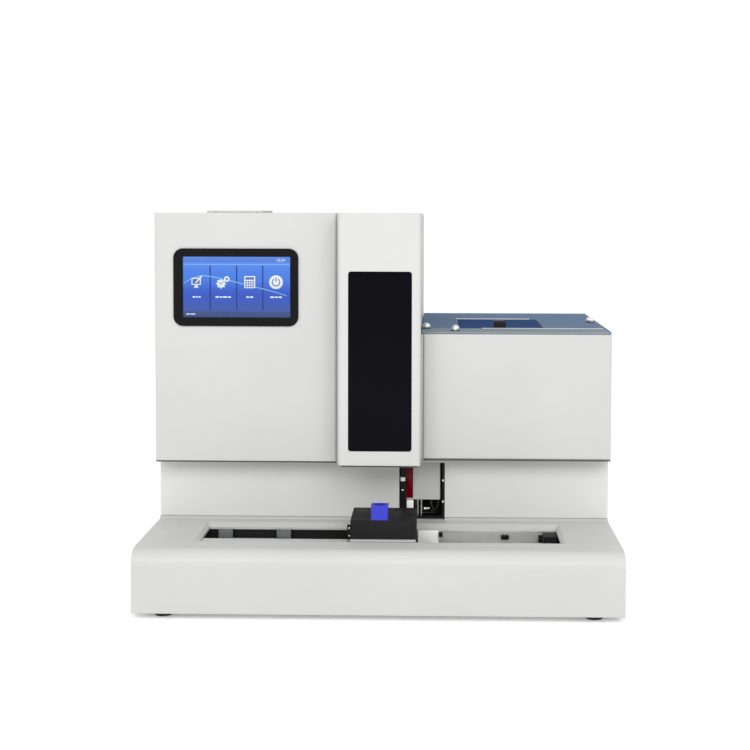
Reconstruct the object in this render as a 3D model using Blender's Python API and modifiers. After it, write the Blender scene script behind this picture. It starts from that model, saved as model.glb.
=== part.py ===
"""Bench-top urine analyzer: covers, rack channel, sampling needle, strip feeder and printer.

Metres, +Z up, the front faces -Y. The origin is the middle of the footprint, on the bench.
Every object is placed under an empty on the front plane, so Y counts from the front.
"""
import math

import bmesh
import bpy
from mathutils import Matrix, Vector

# Whole machine
WIDTH = 0.650
DEPTH = 0.530
WALL = 0.003
SHEET = 0.002
GAP = 0.0003
PIN_PLAY = 0.0003
SLIDE_PLAY = 0.0004

# Feet
FOOT_HEIGHT = 0.008
FOOT_RADIUS = 0.0125
FOOT_TAPER = 0.001
FOOT_INSET_X = 0.038
FOOT_INSET_Y = 0.026

# Base cover and deck
BASE_HEIGHT = 0.0836
DECK_DEPTH = 0.1944
DECK_EDGE_RADIUS = 0.020
BASE_CORNER_RADIUS = 0.006
PLINTH_HEIGHT = 0.003
PLINTH_DEPTH = 0.006

# Rack slot and channel
SLOT_END = 0.078
SLOT_FRONT = 0.066
SLOT_WIDTH = 0.092
SLOT_LIP = 0.0045
LIP_RUN_X = 0.005
LIP_RUN_Y = 0.010
LIP_WALL = 0.008
CHANNEL_MARGIN = 0.003
TRAY_TOP_DROP = 0.0066
TRAY_FRONT = 0.002
TRAY_END = 0.001
RAIL_FLANGE_RIGHT = 0.008
RAIL_FLANGE_LEFT = 0.030
RACK_LANE_WIDTH = 0.028
LANE_BACK_SPACE = 0.0115

# Sampling station
NEEDLE_INSET = 0.034
NEEDLE_BIAS = 0.001
STATION_REACH_LEFT = 0.060
STATION_REACH_RIGHT = 0.0295
STATION_SETBACK = 0.001
STATION_EDGE = 0.0015
STATION_LENGTH_Y = 0.0825
STATION_RISE = 0.0266
TUNNEL_ROOF = 0.003
NEEDLE_PORT_RADIUS = 0.004
EAR_LENGTH = 0.007
EAR_HEIGHT = 0.019
EAR_DEPTH = 0.006
EAR_STEP = 0.001
STAT_OFFSET = 0.0203
STAT_SETBACK = 0.001
STAT_EDGE = 0.002
STAT_WIDTH = 0.0235
STAT_DEPTH = 0.024
STAT_HEIGHT = 0.019
STAT_BORE = 0.0085

# Rack pushers
FEED_INSET = 0.066
FEED_LENGTH = 0.040
FEED_DEPTH = 0.016
FEED_PLATE = 0.0015
SHIFT_LENGTH = 0.018
EJECT_BAR = 0.103
EJECT_INSET = 0.014
EJECT_DROP = 0.012
PUSHER_PLAY = 0.001
EJECT_PAD = 0.020
EJECT_DEPTH = 0.005

# Middle housing and scanner
STANDOFF = 0.0904
SCAN_OFFSET = 0.003
SCAN_WIDTH = 0.066
SCAN_HEIGHT = 0.083
SCAN_BOX_DEPTH = 0.052
SCAN_SIDE_LEFT = 0.0015
SCAN_SIDE_RIGHT = 0.0005
SCANNER_OFFSET = 0.0095
SCANNER_PLAY = 0.0026
SCANNER_WIDTH = 0.050
SCANNER_HEIGHT = 0.0545
SCANNER_FOOT = 0.028
SCANNER_SETBACK = 0.002
SCANNER_EDGE = 0.0015
SCANNER_WINDOW = 0.0105
SCANNER_WINDOW_DEPTH = 0.004

# Tower
TOWER_WIDTH = 0.379
TOWER_HEIGHT = 0.354
TOWER_FRONT = 0.1603
PANEL_WIDTH = 0.259
SCREEN_LEFT = 0.027
SCREEN_TOP_DROP = 0.0505
BEZEL_WIDTH = 0.178
BEZEL_HEIGHT = 0.1105
BEZEL_RADIUS = 0.0135
BEZEL_THICKNESS = 0.0018
PANEL_BORDER_LEFT = 0.014
PANEL_BORDER_RIGHT = 0.012
PANEL_BORDER_TOP = 0.012
PANEL_BORDER_BOTTOM = 0.0127
TOUCH_DEPTH = 0.012
PANEL_EDGE = 0.0025
TOWER_EDGE = 0.004
BAY_TOP_DROP = 0.008
BAY_SIDE = 0.0075

# Sampling cover
COVER_WIDTH = 0.116
COVER_FRONT = 0.123
COVER_SIDE = 0.0005
COVER_REAR_GAP = 0.004
COVER_LIFT = 0.001
COVER_RADIUS = 0.005
COVER_HINGE_X = 0.0035
COVER_HINGE_Y = 0.0025
HINGE_PIN_RADIUS = 0.0012
HINGE_LUG = 0.005
LUG_EDGE = 0.001
WINDOW_LEFT = 0.0145
WINDOW_RIGHT = 0.0125
WINDOW_BOTTOM = 0.020
WINDOW_HEIGHT = 0.252
WINDOW_RADIUS = 0.004
WINDOW_SETBACK = 0.0002
GUSSET = 0.014
PIN_RECESS = 0.0008

# Needle lift
NEEDLE_RADIUS = 0.0012
NEEDLE_TIP_RISE = 0.004
CARRIAGE_RISE = 0.218
CARRIAGE_HEIGHT = 0.025
CARRIAGE_FRONT = 0.007
CARRIAGE_EDGE = 0.0015
LIFT_PLATE_THICKNESS = 0.004
LIFT_PLATE_SETBACK = 0.009
LIFT_PLATE_HEIGHT = 0.335
ROD_RADIUS = 0.004
ROD_OFFSET = 0.022
ROD_Y = 0.158
PULLEY_OFFSET = 0.0155
PULLEY_RADIUS = 0.008
PULLEY_WIDTH = 0.008
PULLEY_TOP_MARGIN = 0.0303
PULLEY_FOOT_MARGIN = 0.0247
PULLEY_HOLES = 3
PULLEY_HOLE_RADIUS = 0.0015
PULLEY_HOLE_CIRCLE = 0.005
BELT_WIDTH = 0.005
BELT_THICKNESS = 0.0012
SHAFT_RADIUS = 0.0025
MOTOR_SIZE = 0.028
MOTOR_LENGTH = 0.040

# Syringe pump
PUMP_INSET = 0.164
PUMP_Y = 0.240
PUMP_WIDTH = 0.044
PUMP_DEPTH = 0.032
PUMP_HEIGHT = 0.150
BARREL_RADIUS = 0.009
BARREL_SPARE = 0.024
PLUNGER_TRAVEL = 0.040

# Strip unit
SIDE_GAP = 0.0035
STRIP_LIFT = 0.004
STRIP_HEIGHT = 0.1792
STRIP_FRONT = 0.1615
LID_THICKNESS = 0.003
LID_REAR_GAP = 0.0145
LID_SIDE = 0.0005
LID_OVERHANG = 0.0025
HATCH_LEFT = 0.0495
HATCH_RIGHT = 0.0905
HATCH_SIDE = 0.0005
HATCH_FRONT = 0.0535
HATCH_LENGTH = 0.170
HATCH_PIN_INSET = 0.003
HATCH_PIN_RADIUS = 0.0008
HATCH_PIN_LENGTH = 0.004
KNOB_WIDTH = 0.0165
KNOB_DEPTH = 0.018
KNOB_HEIGHT = 0.0105
KNOB_SETBACK = 0.003
KNOB_OFFSET = -0.0018
KNOB_EDGE = 0.002
SCREW_RADIUS = 0.006
SCREW_RISE = 0.003
SCREW_DOME = 0.9
SCREW_NECK = 0.72
SCREW_ARCS = 5
LID_SCREW_LEFT = (0.0040, 0.0437)
LID_SCREW_FRONT = (0.0456, 0.0100)
LID_SCREW_RIGHT = (0.0125, 0.1700)
HOPPER_WALL = 0.005
HOPPER_DEPTH = 0.062
HOPPER_SLOT = 0.030
PLATFORM_RISE = 0.066
DRUM_RADIUS = 0.020
DRUM_SIDE = 0.008
DRUM_CENTRE_RISE = 0.024
DRUM_PLACE = 0.085
DRUM_GROOVE = 0.003
DRUM_GROOVE_WIDTH = 0.006
DRUM_SHAFT_RADIUS = 0.003
FRAME_PLATE = 0.003
FRAME_DEPTH = 0.044
OPTICS_DEPTH = 0.034
OPTICS_AIR = 0.007
OPTICS_CLEARANCE = 0.007
STRIP_SLOT = 0.016
STRIP_SLOT_GAP = 0.006
DRAWER_FRONT_Y = 0.230
DRAWER_REAR_SPACE = 0.0955
DRAWER_HEIGHT = 0.060
DRAWER_CLEARANCE = 0.0655
DRAWER_GRIP = 0.050
DRAWER_GRIP_DROP = 0.016

# Printer
PRINTER_INSET = 0.063
PRINTER_EDGE = 0.004
PRINTER_FLANGE = 0.006
PRINTER_WIDTH = 0.082
PRINTER_FRONT = 0.230
PRINTER_LENGTH = 0.090
PRINTER_LID = 0.003
BAY_DEPTH = 0.056
PAPER_WIDTH = 0.057
PAPER_RADIUS = 0.022
PAPER_CORE = 0.006
PAPER_BACK = 0.028
PLATEN_RADIUS = 0.0045
PLATEN_SHAFT = 0.0015
PLATEN_BACK = 0.015
PLATEN_DROP = 0.006
PLATEN_SIDE = 0.0015

# Back of the machine
REAR_SEAT = 0.0045
REAR_SETBACK = 0.001
FAN_INSET = 0.175
FAN_RISE = 0.118
FAN_SIZE = 0.080
FAN_DEPTH = 0.025
FAN_HUB_RADIUS = 0.014
FAN_BORE = 0.0376
FAN_SPOKE = 0.004
FAN_SPOKE_WIDTH = 0.006
FAN_BLADES = 5
BLADE_WIDTH = 0.020
BLADE_THICKNESS = 0.0016
BLADE_CLEARANCE = 0.0028
BLADE_PITCH = math.radians(52)
FAN_SLOT = 0.005
FAN_SLOT_PITCH = 0.010
INLET_INSET = 0.094
INLET_RISE = 0.023
INLET_WIDTH = 0.074
INLET_HEIGHT = 0.029
INLET_DEPTH = 0.028
INLET_SETBACK = 0.0005
SOCKET_WIDTH = 0.026
SOCKET_HEIGHT = 0.018
SOCKET_INSET = 0.008
SOCKET_DEPTH = 0.016
SOCKET_PITCH = 0.007
ROCKER_WIDTH = 0.016
ROCKER_HEIGHT = 0.020
ROCKER_DEPTH = 0.009
ROCKER_MARGIN = 0.004
ROCKER_SETBACK = 0.0075
ROCKER_EDGE = 0.0015
ROCKER_TILT = math.radians(8)
SUPPLY_WIDTH = 0.120
SUPPLY_LENGTH = 0.110
SUPPLY_HEIGHT = 0.045
SUPPLY_INSET = 0.012
BOARD_WIDTH = 0.200
BOARD_LENGTH = 0.150
BOARD_INSET = 0.040
BOARD_SETBACK = 0.090
BOARD_RISE = 0.006
BOARD_THICKNESS = 0.0016
BOARD_POST_INSET = 0.008
BOARD_POST_RADIUS = 0.003
CHIP_SIZE = 0.030
CHIP_HEIGHT = 0.003
MEMORY_WIDTH = 0.014
MEMORY_LENGTH = 0.036
MEMORY_HEIGHT = 0.004
PLUG_WIDTH = 0.060
PLUG_LENGTH = 0.010
PLUG_HEIGHT = 0.010
BOARD_CHIPS = ((BOARD_WIDTH / 5, BOARD_LENGTH / 3, CHIP_SIZE, CHIP_SIZE, CHIP_HEIGHT),
               (BOARD_WIDTH * 0.55, BOARD_LENGTH / 5, MEMORY_WIDTH, MEMORY_LENGTH, MEMORY_HEIGHT),
               (BOARD_WIDTH * 0.15, BOARD_LENGTH * 0.73, PLUG_WIDTH, PLUG_LENGTH, PLUG_HEIGHT))

# Levels and edges that follow from the sizes above
LEFT = -WIDTH / 2
RIGHT = WIDTH / 2
SLOT_HALF_LENGTH = WIDTH / 2 - SLOT_END
BASE_Z = FOOT_HEIGHT
DECK_Z = BASE_Z + BASE_HEIGHT
TOWER_Z = DECK_Z + STANDOFF
TOWER_TOP = TOWER_Z + TOWER_HEIGHT
TOWER_RIGHT = LEFT + TOWER_WIDTH
STRIP_LEFT = TOWER_RIGHT + SIDE_GAP
NEEDLE_X = TOWER_RIGHT - NEEDLE_INSET
STATION_LEFT = NEEDLE_X - STATION_REACH_LEFT
STATION_RIGHT = NEEDLE_X + STATION_REACH_RIGHT
STATION_FRONT = SLOT_FRONT + STATION_SETBACK
STAT_X = NEEDLE_X - STAT_OFFSET
FEED_LEFT = SLOT_HALF_LENGTH - FEED_INSET
EJECT_LEFT = EJECT_INSET - SLOT_HALF_LENGTH
SCAN_LEFT = NEEDLE_X + SCAN_OFFSET
SCAN_RIGHT = SCAN_LEFT + SCAN_WIDTH
SCANNER_LEFT = SCAN_LEFT + SCANNER_OFFSET
ROD_X = NEEDLE_X - ROD_OFFSET
PULLEY_X = NEEDLE_X + PULLEY_OFFSET
LIFT_PLATE_Z = TOWER_Z + WALL + GAP
PULLEY_LOW_Z = LIFT_PLATE_Z + PULLEY_FOOT_MARGIN
PULLEY_HIGH_Z = LIFT_PLATE_Z + LIFT_PLATE_HEIGHT - PULLEY_TOP_MARGIN
PUMP_X = TOWER_RIGHT - PUMP_INSET
BARREL_LENGTH = PLUNGER_TRAVEL + BARREL_SPARE
LID_LENGTH = DEPTH - STRIP_FRONT - LID_REAR_GAP
HATCH_WIDTH = RIGHT - STRIP_LEFT - HATCH_LEFT - HATCH_RIGHT
DRUM_LENGTH = HATCH_WIDTH - 2 * DRUM_SIDE
DRUM_Y = STRIP_FRONT + HATCH_FRONT + DRUM_PLACE
DRAWER_REACH = RIGHT - STRIP_LEFT - DRAWER_CLEARANCE
PRINTER_LEFT = LEFT + PRINTER_INSET
FAN_X = LEFT + FAN_INSET
FAN_Z = TOWER_Z + FAN_RISE
INLET_X = RIGHT - INLET_INSET
INLET_Z = BASE_Z + INLET_RISE
STRIP_Z = TOWER_Z + STRIP_LIFT
STRIP_TOP = STRIP_Z + STRIP_HEIGHT
PANEL_RIGHT = LEFT + PANEL_WIDTH
SHELL_FRONT = TOWER_FRONT + WALL + GAP
SLOT_BACK = SLOT_FRONT + SLOT_WIDTH
LIP_Z = DECK_Z - SLOT_LIP
FLOOR_Z = BASE_Z + SHEET + GAP
CHANNEL_TOP = DECK_Z - LIP_WALL - GAP
CHANNEL_FLOOR = FLOOR_Z + GAP + SHEET
TRAY_FLOOR = CHANNEL_FLOOR + GAP + SHEET
TRAY_TOP = DECK_Z - TRAY_TOP_DROP
LANE_BACK = SLOT_BACK - LANE_BACK_SPACE
LANE_FRONT = LANE_BACK - RACK_LANE_WIDTH
NEEDLE_Y = LANE_BACK - RACK_LANE_WIDTH / 2 + NEEDLE_BIAS
STATION_TOP = DECK_Z + STATION_RISE
COVER_RIGHT = TOWER_RIGHT + COVER_SIDE
COVER_LEFT = COVER_RIGHT - COVER_WIDTH
COVER_BACK = STRIP_FRONT - COVER_REAR_GAP
COVER_Z = TOWER_Z + COVER_LIFT
LID_Z = STRIP_TOP + GAP
LID_TOP = LID_Z + LID_THICKNESS
PLATFORM_Z = STRIP_Z + PLATFORM_RISE
DRUM_Z = PLATFORM_Z + SHEET + DRUM_CENTRE_RISE
REAR_Y = DEPTH - REAR_SEAT
REAR_TOP_RIGHT = STRIP_TOP - WALL - GAP
DRAWER_LENGTH_Y = REAR_Y - DRAWER_FRONT_Y - DRAWER_REAR_SPACE

PARTS = "urine_analyzer"
TOOLS = "cutters"
ROUND = 24
FINE = 12


def clear_scene():
    for item in list(bpy.data.objects):
        bpy.data.objects.remove(item, do_unlink=True)


def make_collection(name):
    found = bpy.data.collections.get(name) or bpy.data.collections.new(name)
    if name not in bpy.context.scene.collection.children:
        bpy.context.scene.collection.children.link(found)
    return found


def make_front_plane():
    empty = bpy.data.objects.new("front_plane", None)
    empty.location = (0, -DEPTH / 2, 0)
    make_collection(PARTS).objects.link(empty)
    return empty


def finish_mesh(form, name, pivot, smooth=False):
    bmesh.ops.translate(form, verts=form.verts, vec=-Vector(pivot))
    mesh = bpy.data.meshes.new(name)
    form.to_mesh(mesh)
    form.free()
    if smooth:
        mesh.shade_smooth()
        mesh.set_sharp_from_angle(angle=math.radians(40))
    return mesh


def box_mesh(name, low, high, pivot):
    low = Vector(low)
    high = Vector(high)
    form = bmesh.new()
    bmesh.ops.create_cube(form, size=1)
    bmesh.ops.scale(form, verts=form.verts, vec=high - low)
    bmesh.ops.translate(form, verts=form.verts, vec=(low + high) / 2)
    return finish_mesh(form, name, pivot)


def cone_mesh(name, start, end, radius, end_radius, sides, pivot):
    start = Vector(start)
    end = Vector(end)
    span = end - start
    form = bmesh.new()
    bmesh.ops.create_cone(form, cap_ends=True, segments=sides, radius1=radius, radius2=end_radius,
                          depth=span.length)
    turn = Vector((0, 0, 1)).rotation_difference(span)
    bmesh.ops.rotate(form, verts=form.verts, cent=(0, 0, 0), matrix=turn.to_matrix())
    bmesh.ops.translate(form, verts=form.verts, vec=(start + end) / 2)
    return finish_mesh(form, name, pivot, smooth=True)


def make_material(name, colour, roughness, metallic, alpha):
    material = bpy.data.materials.new(name)
    material.use_nodes = True
    shader = material.node_tree.nodes["Principled BSDF"]
    shader.inputs["Base Color"].default_value = (*colour, 1)
    shader.inputs["Roughness"].default_value = roughness
    shader.inputs["Metallic"].default_value = metallic
    shader.inputs["Alpha"].default_value = alpha
    material.diffuse_color = (*colour, alpha)
    return material


FINISHES = {
    "housing": ((0.63, 0.63, 0.61), 0.45, 0.0, 1.0),
    "steel": ((0.62, 0.62, 0.62), 0.28, 1.0, 1.0),
    "chrome": ((0.80, 0.80, 0.80), 0.08, 1.0, 1.0),
    "aluminium": ((0.55, 0.56, 0.57), 0.40, 1.0, 1.0),
    "black": ((0.02, 0.02, 0.02), 0.50, 0.0, 1.0),
    "gloss_black": ((0.008, 0.008, 0.010), 0.10, 0.0, 1.0),
    "rubber": ((0.015, 0.015, 0.015), 0.80, 0.0, 1.0),
    "lid_tint": ((0.17, 0.24, 0.36), 0.15, 0.0, 0.85),
    "blue_tint": ((0.02, 0.05, 0.60), 0.12, 0.0, 0.80),
    "display": ((0.08, 0.22, 0.70), 0.12, 0.0, 1.0),
    "silver": ((0.38, 0.38, 0.37), 0.40, 0.2, 1.0),
    "white": ((0.80, 0.80, 0.78), 0.55, 0.0, 1.0),
    "paper": ((0.85, 0.85, 0.84), 0.85, 0.0, 1.0),
    "board": ((0.02, 0.16, 0.07), 0.50, 0.0, 1.0),
    "glass": ((0.80, 0.85, 0.85), 0.05, 0.0, 0.40),
}


def add_part(name, mesh, finish, pivot):
    part = bpy.data.objects.new(name, mesh)
    part.location = pivot
    part.parent = FRONT
    make_collection(PARTS).objects.link(part)
    part.data.materials.append(make_material(name, *FINISHES[finish]))
    return part


def add_tool(mesh, pivot):
    tool = bpy.data.objects.new("tool", mesh)
    tool.location = pivot
    tool.parent = FRONT
    tool.hide_render = True
    tool.display_type = 'WIRE'
    make_collection(TOOLS).objects.link(tool)
    return tool


def block(name, low, high, finish, pivot=None):
    pivot = Vector(low) if pivot is None else Vector(pivot)
    return add_part(name, box_mesh(name, low, high, pivot), finish, pivot)


def rod(name, start, end, radius, finish, pivot=None, sides=ROUND, end_radius=None):
    pivot = Vector(start) if pivot is None else Vector(pivot)
    end_radius = radius if end_radius is None else end_radius
    return add_part(name, cone_mesh(name, start, end, radius, end_radius, sides, pivot), finish, pivot)


def box_tool(low, high):
    return add_tool(box_mesh("tool", low, high, low), low)


def rod_tool(start, end, radius, sides=ROUND, end_radius=None):
    end_radius = radius if end_radius is None else end_radius
    return add_tool(cone_mesh("tool", start, end, radius, end_radius, sides, start), start)


def combine(part, operation, tools):
    for tool in tools:
        change = part.modifiers.new(operation.lower(), 'BOOLEAN')
        change.operation = operation
        change.solver = 'EXACT'
        change.object = tool


def cut(part, *tools):
    combine(part, 'DIFFERENCE', tools)


def join(part, *tools):
    combine(part, 'UNION', tools)


def soften(part, radius, along, segments=3, where=None):
    """Round the edges that run along one axis (0, 1 or 2), all of them or those that where picks."""
    mesh = part.data
    found = mesh.attributes.get("bevel_weight_edge")
    weights = found or mesh.attributes.new("bevel_weight_edge", 'FLOAT', 'EDGE')
    for edge in mesh.edges:
        start = mesh.vertices[edge.vertices[0]].co
        end = mesh.vertices[edge.vertices[1]].co
        run = (end - start).normalized()
        middle = (start + end) / 2 + part.location
        if abs(run[along]) > 0.99 and (where is None or where(middle)):
            weights.data[edge.index].value = 1
    if "round" not in part.modifiers:
        change = part.modifiers.new("round", 'BEVEL')
        change.limit_method = 'WEIGHT'
        change.width = radius
        change.segments = segments


def shell(name, low, high, finish, open_sides, wall=WALL):
    """A box cover with walls inside its outline; open_sides names the faces left out, as in -y."""
    low = Vector(low)
    high = Vector(high)
    part = block(name, low, high, finish)
    inner_low = low + Vector((wall, wall, wall))
    inner_high = high - Vector((wall, wall, wall))
    for axis, letter in enumerate("xyz"):
        if "-" + letter in open_sides:
            inner_low[axis] = low[axis] - wall
        if "+" + letter in open_sides:
            inner_high[axis] = high[axis] + wall
    return part, (inner_low, inner_high)


def make_feet():
    for side, x in (("left", LEFT + FOOT_INSET_X), ("right", RIGHT - FOOT_INSET_X)):
        for place, y in (("front", FOOT_INSET_Y), ("rear", DEPTH - FOOT_INSET_Y)):
            rod(f"foot_{place}_{side}", (x, y, 0), (x, y, FOOT_HEIGHT - GAP), FOOT_RADIUS - FOOT_TAPER,
                "rubber", sides=16, end_radius=FOOT_RADIUS)


def make_base_plate():
    block("base_plate", (LEFT + WALL + GAP, WALL + GAP, BASE_Z),
          (RIGHT - WALL - GAP, REAR_Y - GAP, BASE_Z + SHEET), "steel")


def make_base_cover():
    cover, inside = shell("base_cover", (LEFT, 0, BASE_Z), (RIGHT, DEPTH, DECK_Z), "housing", ("-z", "+y"))
    soften(cover, BASE_CORNER_RADIUS, 2, where=lambda place: place.y < DEPTH / 2)
    group = cover.vertex_groups.new(name="front_top")
    group.add([corner.index for corner in cover.data.vertices
               if corner.co.y + cover.location.y < WALL and corner.co.z + cover.location.z > DECK_Z - WALL],
              1.0, 'REPLACE')
    edge = cover.modifiers.new("front_edge", 'BEVEL')
    edge.limit_method = 'VGROUP'
    edge.vertex_group = "front_top"
    edge.width = DECK_EDGE_RADIUS
    edge.segments = 6
    cover.modifiers.move(1, 0)
    slot_low = (-SLOT_HALF_LENGTH, SLOT_FRONT)
    slot_high = (SLOT_HALF_LENGTH, SLOT_BACK)
    cavity = box_tool(*inside)
    soften(cavity, DECK_EDGE_RADIUS - WALL, 0, segments=6,
           where=lambda place: place.y < 2 * WALL and place.z > DECK_Z / 2)
    cut(cover, cavity)
    margin = LIP_RUN_X + WALL
    join(cover, box_tool((slot_low[0] - margin, slot_low[1] - LIP_RUN_Y - WALL, DECK_Z - LIP_WALL),
                         (slot_high[0] + margin, slot_high[1] + LIP_RUN_Y + WALL, DECK_Z - SHEET / 2)))
    join(cover, box_tool((LEFT, DECK_DEPTH - PLINTH_DEPTH, DECK_Z - WALL),
                         (RIGHT, DECK_DEPTH + WALL, DECK_Z + PLINTH_HEIGHT)))
    cut(cover, make_slot_tool(slot_low, slot_high),
        box_tool((slot_low[0], slot_low[1], DECK_Z - 3 * LIP_WALL),
                 (slot_high[0], slot_high[1], DECK_Z + WALL)))
    cut(cover, box_tool((LEFT + WALL, DECK_DEPTH + WALL, DECK_Z - 2 * WALL),
                        (RIGHT - WALL, DEPTH + WALL, DECK_Z + WALL)))
    cut(cover, box_tool((SCAN_LEFT, DECK_DEPTH - 2 * PLINTH_DEPTH, DECK_Z + GAP),
                        (SCAN_RIGHT, DECK_DEPTH + 2 * WALL, DECK_Z + 2 * PLINTH_HEIGHT)))


def make_slot_tool(low, high):
    """The sloped lip of the rack slot: a tapered block, wide at the deck."""
    grow = (SLOT_LIP + SHEET) / SLOT_LIP
    top_x = LIP_RUN_X * grow
    top_y = LIP_RUN_Y * grow
    mesh = box_mesh("tool", (low[0], low[1], LIP_Z), (high[0], high[1], DECK_Z + SHEET), (0, 0, 0))
    for vertex in mesh.vertices:
        if vertex.co.z > DECK_Z:
            vertex.co.x += top_x if vertex.co.x > 0 else -top_x
            vertex.co.y += top_y if vertex.co.y > (low[1] + high[1]) / 2 else -top_y
    return add_tool(mesh, (0, 0, 0))


def make_channel():
    liner, inside = shell("channel_liner",
                          (-SLOT_HALF_LENGTH - CHANNEL_MARGIN, SLOT_FRONT - CHANNEL_MARGIN, FLOOR_Z),
                          (SLOT_HALF_LENGTH + CHANNEL_MARGIN, SLOT_BACK + CHANNEL_MARGIN, CHANNEL_TOP),
                          "black", ("+z",), wall=SHEET)
    cut(liner, box_tool(*inside))


def make_tray(name, left, right, flange, back_wall):
    """A stainless floor along the channel with a flanged front rail and, on the right, a back guide."""
    front = SLOT_FRONT + TRAY_FRONT
    back = SLOT_BACK - TRAY_END
    tray = block(name, (left, front, CHANNEL_FLOOR + GAP), (right, back, TRAY_TOP), "steel")
    rail = front + RAIL_FLANGE_RIGHT
    back_edge = back - SHEET if back_wall else back + SHEET
    cut(tray,
        box_tool((left - SHEET, rail, TRAY_FLOOR), (right + SHEET, back_edge, TRAY_TOP + SHEET)),
        box_tool((left - SHEET, front - SHEET, CHANNEL_FLOOR),
                 (right + SHEET, rail - SHEET, TRAY_TOP - SHEET)))
    if flange > RAIL_FLANGE_RIGHT:
        join(tray, box_tool((left, rail - SHEET / 2, TRAY_TOP - SHEET), (right, front + flange, TRAY_TOP)))


def make_trays():
    make_tray("tray_right", STATION_RIGHT + TRAY_END, SLOT_HALF_LENGTH - GAP, RAIL_FLANGE_RIGHT, True)
    make_tray("tray_left", -SLOT_HALF_LENGTH + GAP, STATION_LEFT - TRAY_END, RAIL_FLANGE_LEFT, False)


def make_station():
    low = Vector((STATION_LEFT, STATION_FRONT, CHANNEL_FLOOR + GAP))
    high = Vector((STATION_RIGHT, STATION_FRONT + STATION_LENGTH_Y, STATION_TOP))
    station = block("sampling_station", low, high, "black")
    soften(station, STATION_EDGE, 2, segments=2)
    cut(station,
        box_tool((low.x - WALL, LANE_FRONT - 2 * SLIDE_PLAY, low.z - WALL),
                 (high.x + WALL, LANE_BACK + 2 * SLIDE_PLAY, high.z - TUNNEL_ROOF)),
        box_tool((low.x + WALL, low.y + WALL, low.z - WALL),
                 (high.x - WALL, LANE_FRONT - 2 * WALL, high.z - TUNNEL_ROOF)),
        rod_tool((NEEDLE_X, NEEDLE_Y, high.z - WALL * 2), (NEEDLE_X, NEEDLE_Y, high.z + WALL),
                 NEEDLE_PORT_RADIUS, sides=16),
        rod_tool((STAT_X, low.y + WALL + STAT_DEPTH / 2, high.z - WALL * 2),
                 (STAT_X, low.y + WALL + STAT_DEPTH / 2, high.z + WALL), STAT_BORE, sides=20))
    ear_y = low.y + STATION_LENGTH_Y / 2
    for rise in (0, EAR_HEIGHT / 2 + EAR_STEP):
        join(station, box_tool((low.x - EAR_LENGTH, ear_y, DECK_Z + rise - EAR_HEIGHT / 2),
                               (low.x + SHEET, ear_y + EAR_DEPTH, DECK_Z + rise)))
    holder_y = low.y + STAT_SETBACK
    holder = block("stat_holder", (STAT_X - STAT_WIDTH / 2, holder_y, STATION_TOP + GAP),
                   (STAT_X + STAT_WIDTH / 2, holder_y + STAT_DEPTH, STATION_TOP + GAP + STAT_HEIGHT),
                   "blue_tint")
    soften(holder, STAT_EDGE, 2, segments=2)
    cut(holder, rod_tool((STAT_X, low.y + WALL + STAT_DEPTH / 2, STATION_TOP),
                         (STAT_X, low.y + WALL + STAT_DEPTH / 2, STATION_TOP + 2 * STAT_HEIGHT),
                         STAT_BORE, sides=20))


def make_pushers():
    floor = TRAY_FLOOR + SLIDE_PLAY
    rail_back = SLOT_FRONT + TRAY_FRONT + RAIL_FLANGE_RIGHT
    feed = block("feed_pusher", (FEED_LEFT, rail_back + SLIDE_PLAY, floor),
                 (FEED_LEFT + FEED_LENGTH, rail_back + SLIDE_PLAY + FEED_DEPTH, TRAY_TOP - SHEET), "steel")
    cut(feed, box_tool((FEED_LEFT + FEED_PLATE, rail_back + SLIDE_PLAY + FEED_PLATE, floor - SHEET),
                       (FEED_LEFT + FEED_LENGTH - FEED_PLATE, rail_back + FEED_DEPTH * 2,
                        TRAY_TOP - SHEET - FEED_PLATE)))
    shift_right = SLOT_HALF_LENGTH - SHEET
    shift = block("shift_pusher", (shift_right - SHIFT_LENGTH, LANE_FRONT + PUSHER_PLAY, floor),
                  (shift_right, LANE_BACK - SHEET, TRAY_TOP), "black")
    cut(shift, box_tool((shift_right - SHIFT_LENGTH + SHEET * 2, LANE_FRONT - SHEET, floor + SHEET * 2),
                        (shift_right - SHEET * 2, LANE_BACK + SHEET, TRAY_TOP - SHEET * 4)))
    eject_front = LANE_BACK + PUSHER_PLAY
    eject_back = eject_front + EJECT_DEPTH
    eject_z = TRAY_TOP - EJECT_DROP
    eject = block("eject_pusher", (EJECT_LEFT, eject_front, eject_z - EJECT_PAD / 2),
                  (EJECT_LEFT + EJECT_BAR, eject_back, eject_z), "aluminium")
    for left in (EJECT_LEFT, EJECT_LEFT + EJECT_BAR - EJECT_PAD):
        join(eject, box_tool((left, eject_front, floor), (left + EJECT_PAD, eject_back, TRAY_TOP + SHEET)))


def make_mid_housing():
    front = DECK_DEPTH
    housing, inside = shell("mid_housing", (LEFT, front, DECK_Z + PLINTH_HEIGHT + GAP),
                            (RIGHT, DEPTH, STRIP_Z - GAP), "housing", ("-z", "+z", "+y"))
    cut(housing, box_tool(*inside),
        box_tool((LEFT - WALL, front - WALL, TOWER_Z - GAP),
                 (TOWER_RIGHT + SIDE_GAP / 2, DEPTH + WALL, STRIP_Z + WALL)),
        box_tool((SCAN_LEFT, front - WALL, DECK_Z), (SCAN_RIGHT, front + 2 * WALL, DECK_Z + SCAN_HEIGHT)))
    join(housing,
         box_tool((LEFT, front + WALL + GAP, DECK_Z + GAP),
                  (LEFT + WALL, DEPTH, DECK_Z + 2 * PLINTH_HEIGHT)),
         box_tool((RIGHT - WALL, front + WALL + GAP, DECK_Z + GAP),
                  (RIGHT, DEPTH, DECK_Z + 2 * PLINTH_HEIGHT)))


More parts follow.
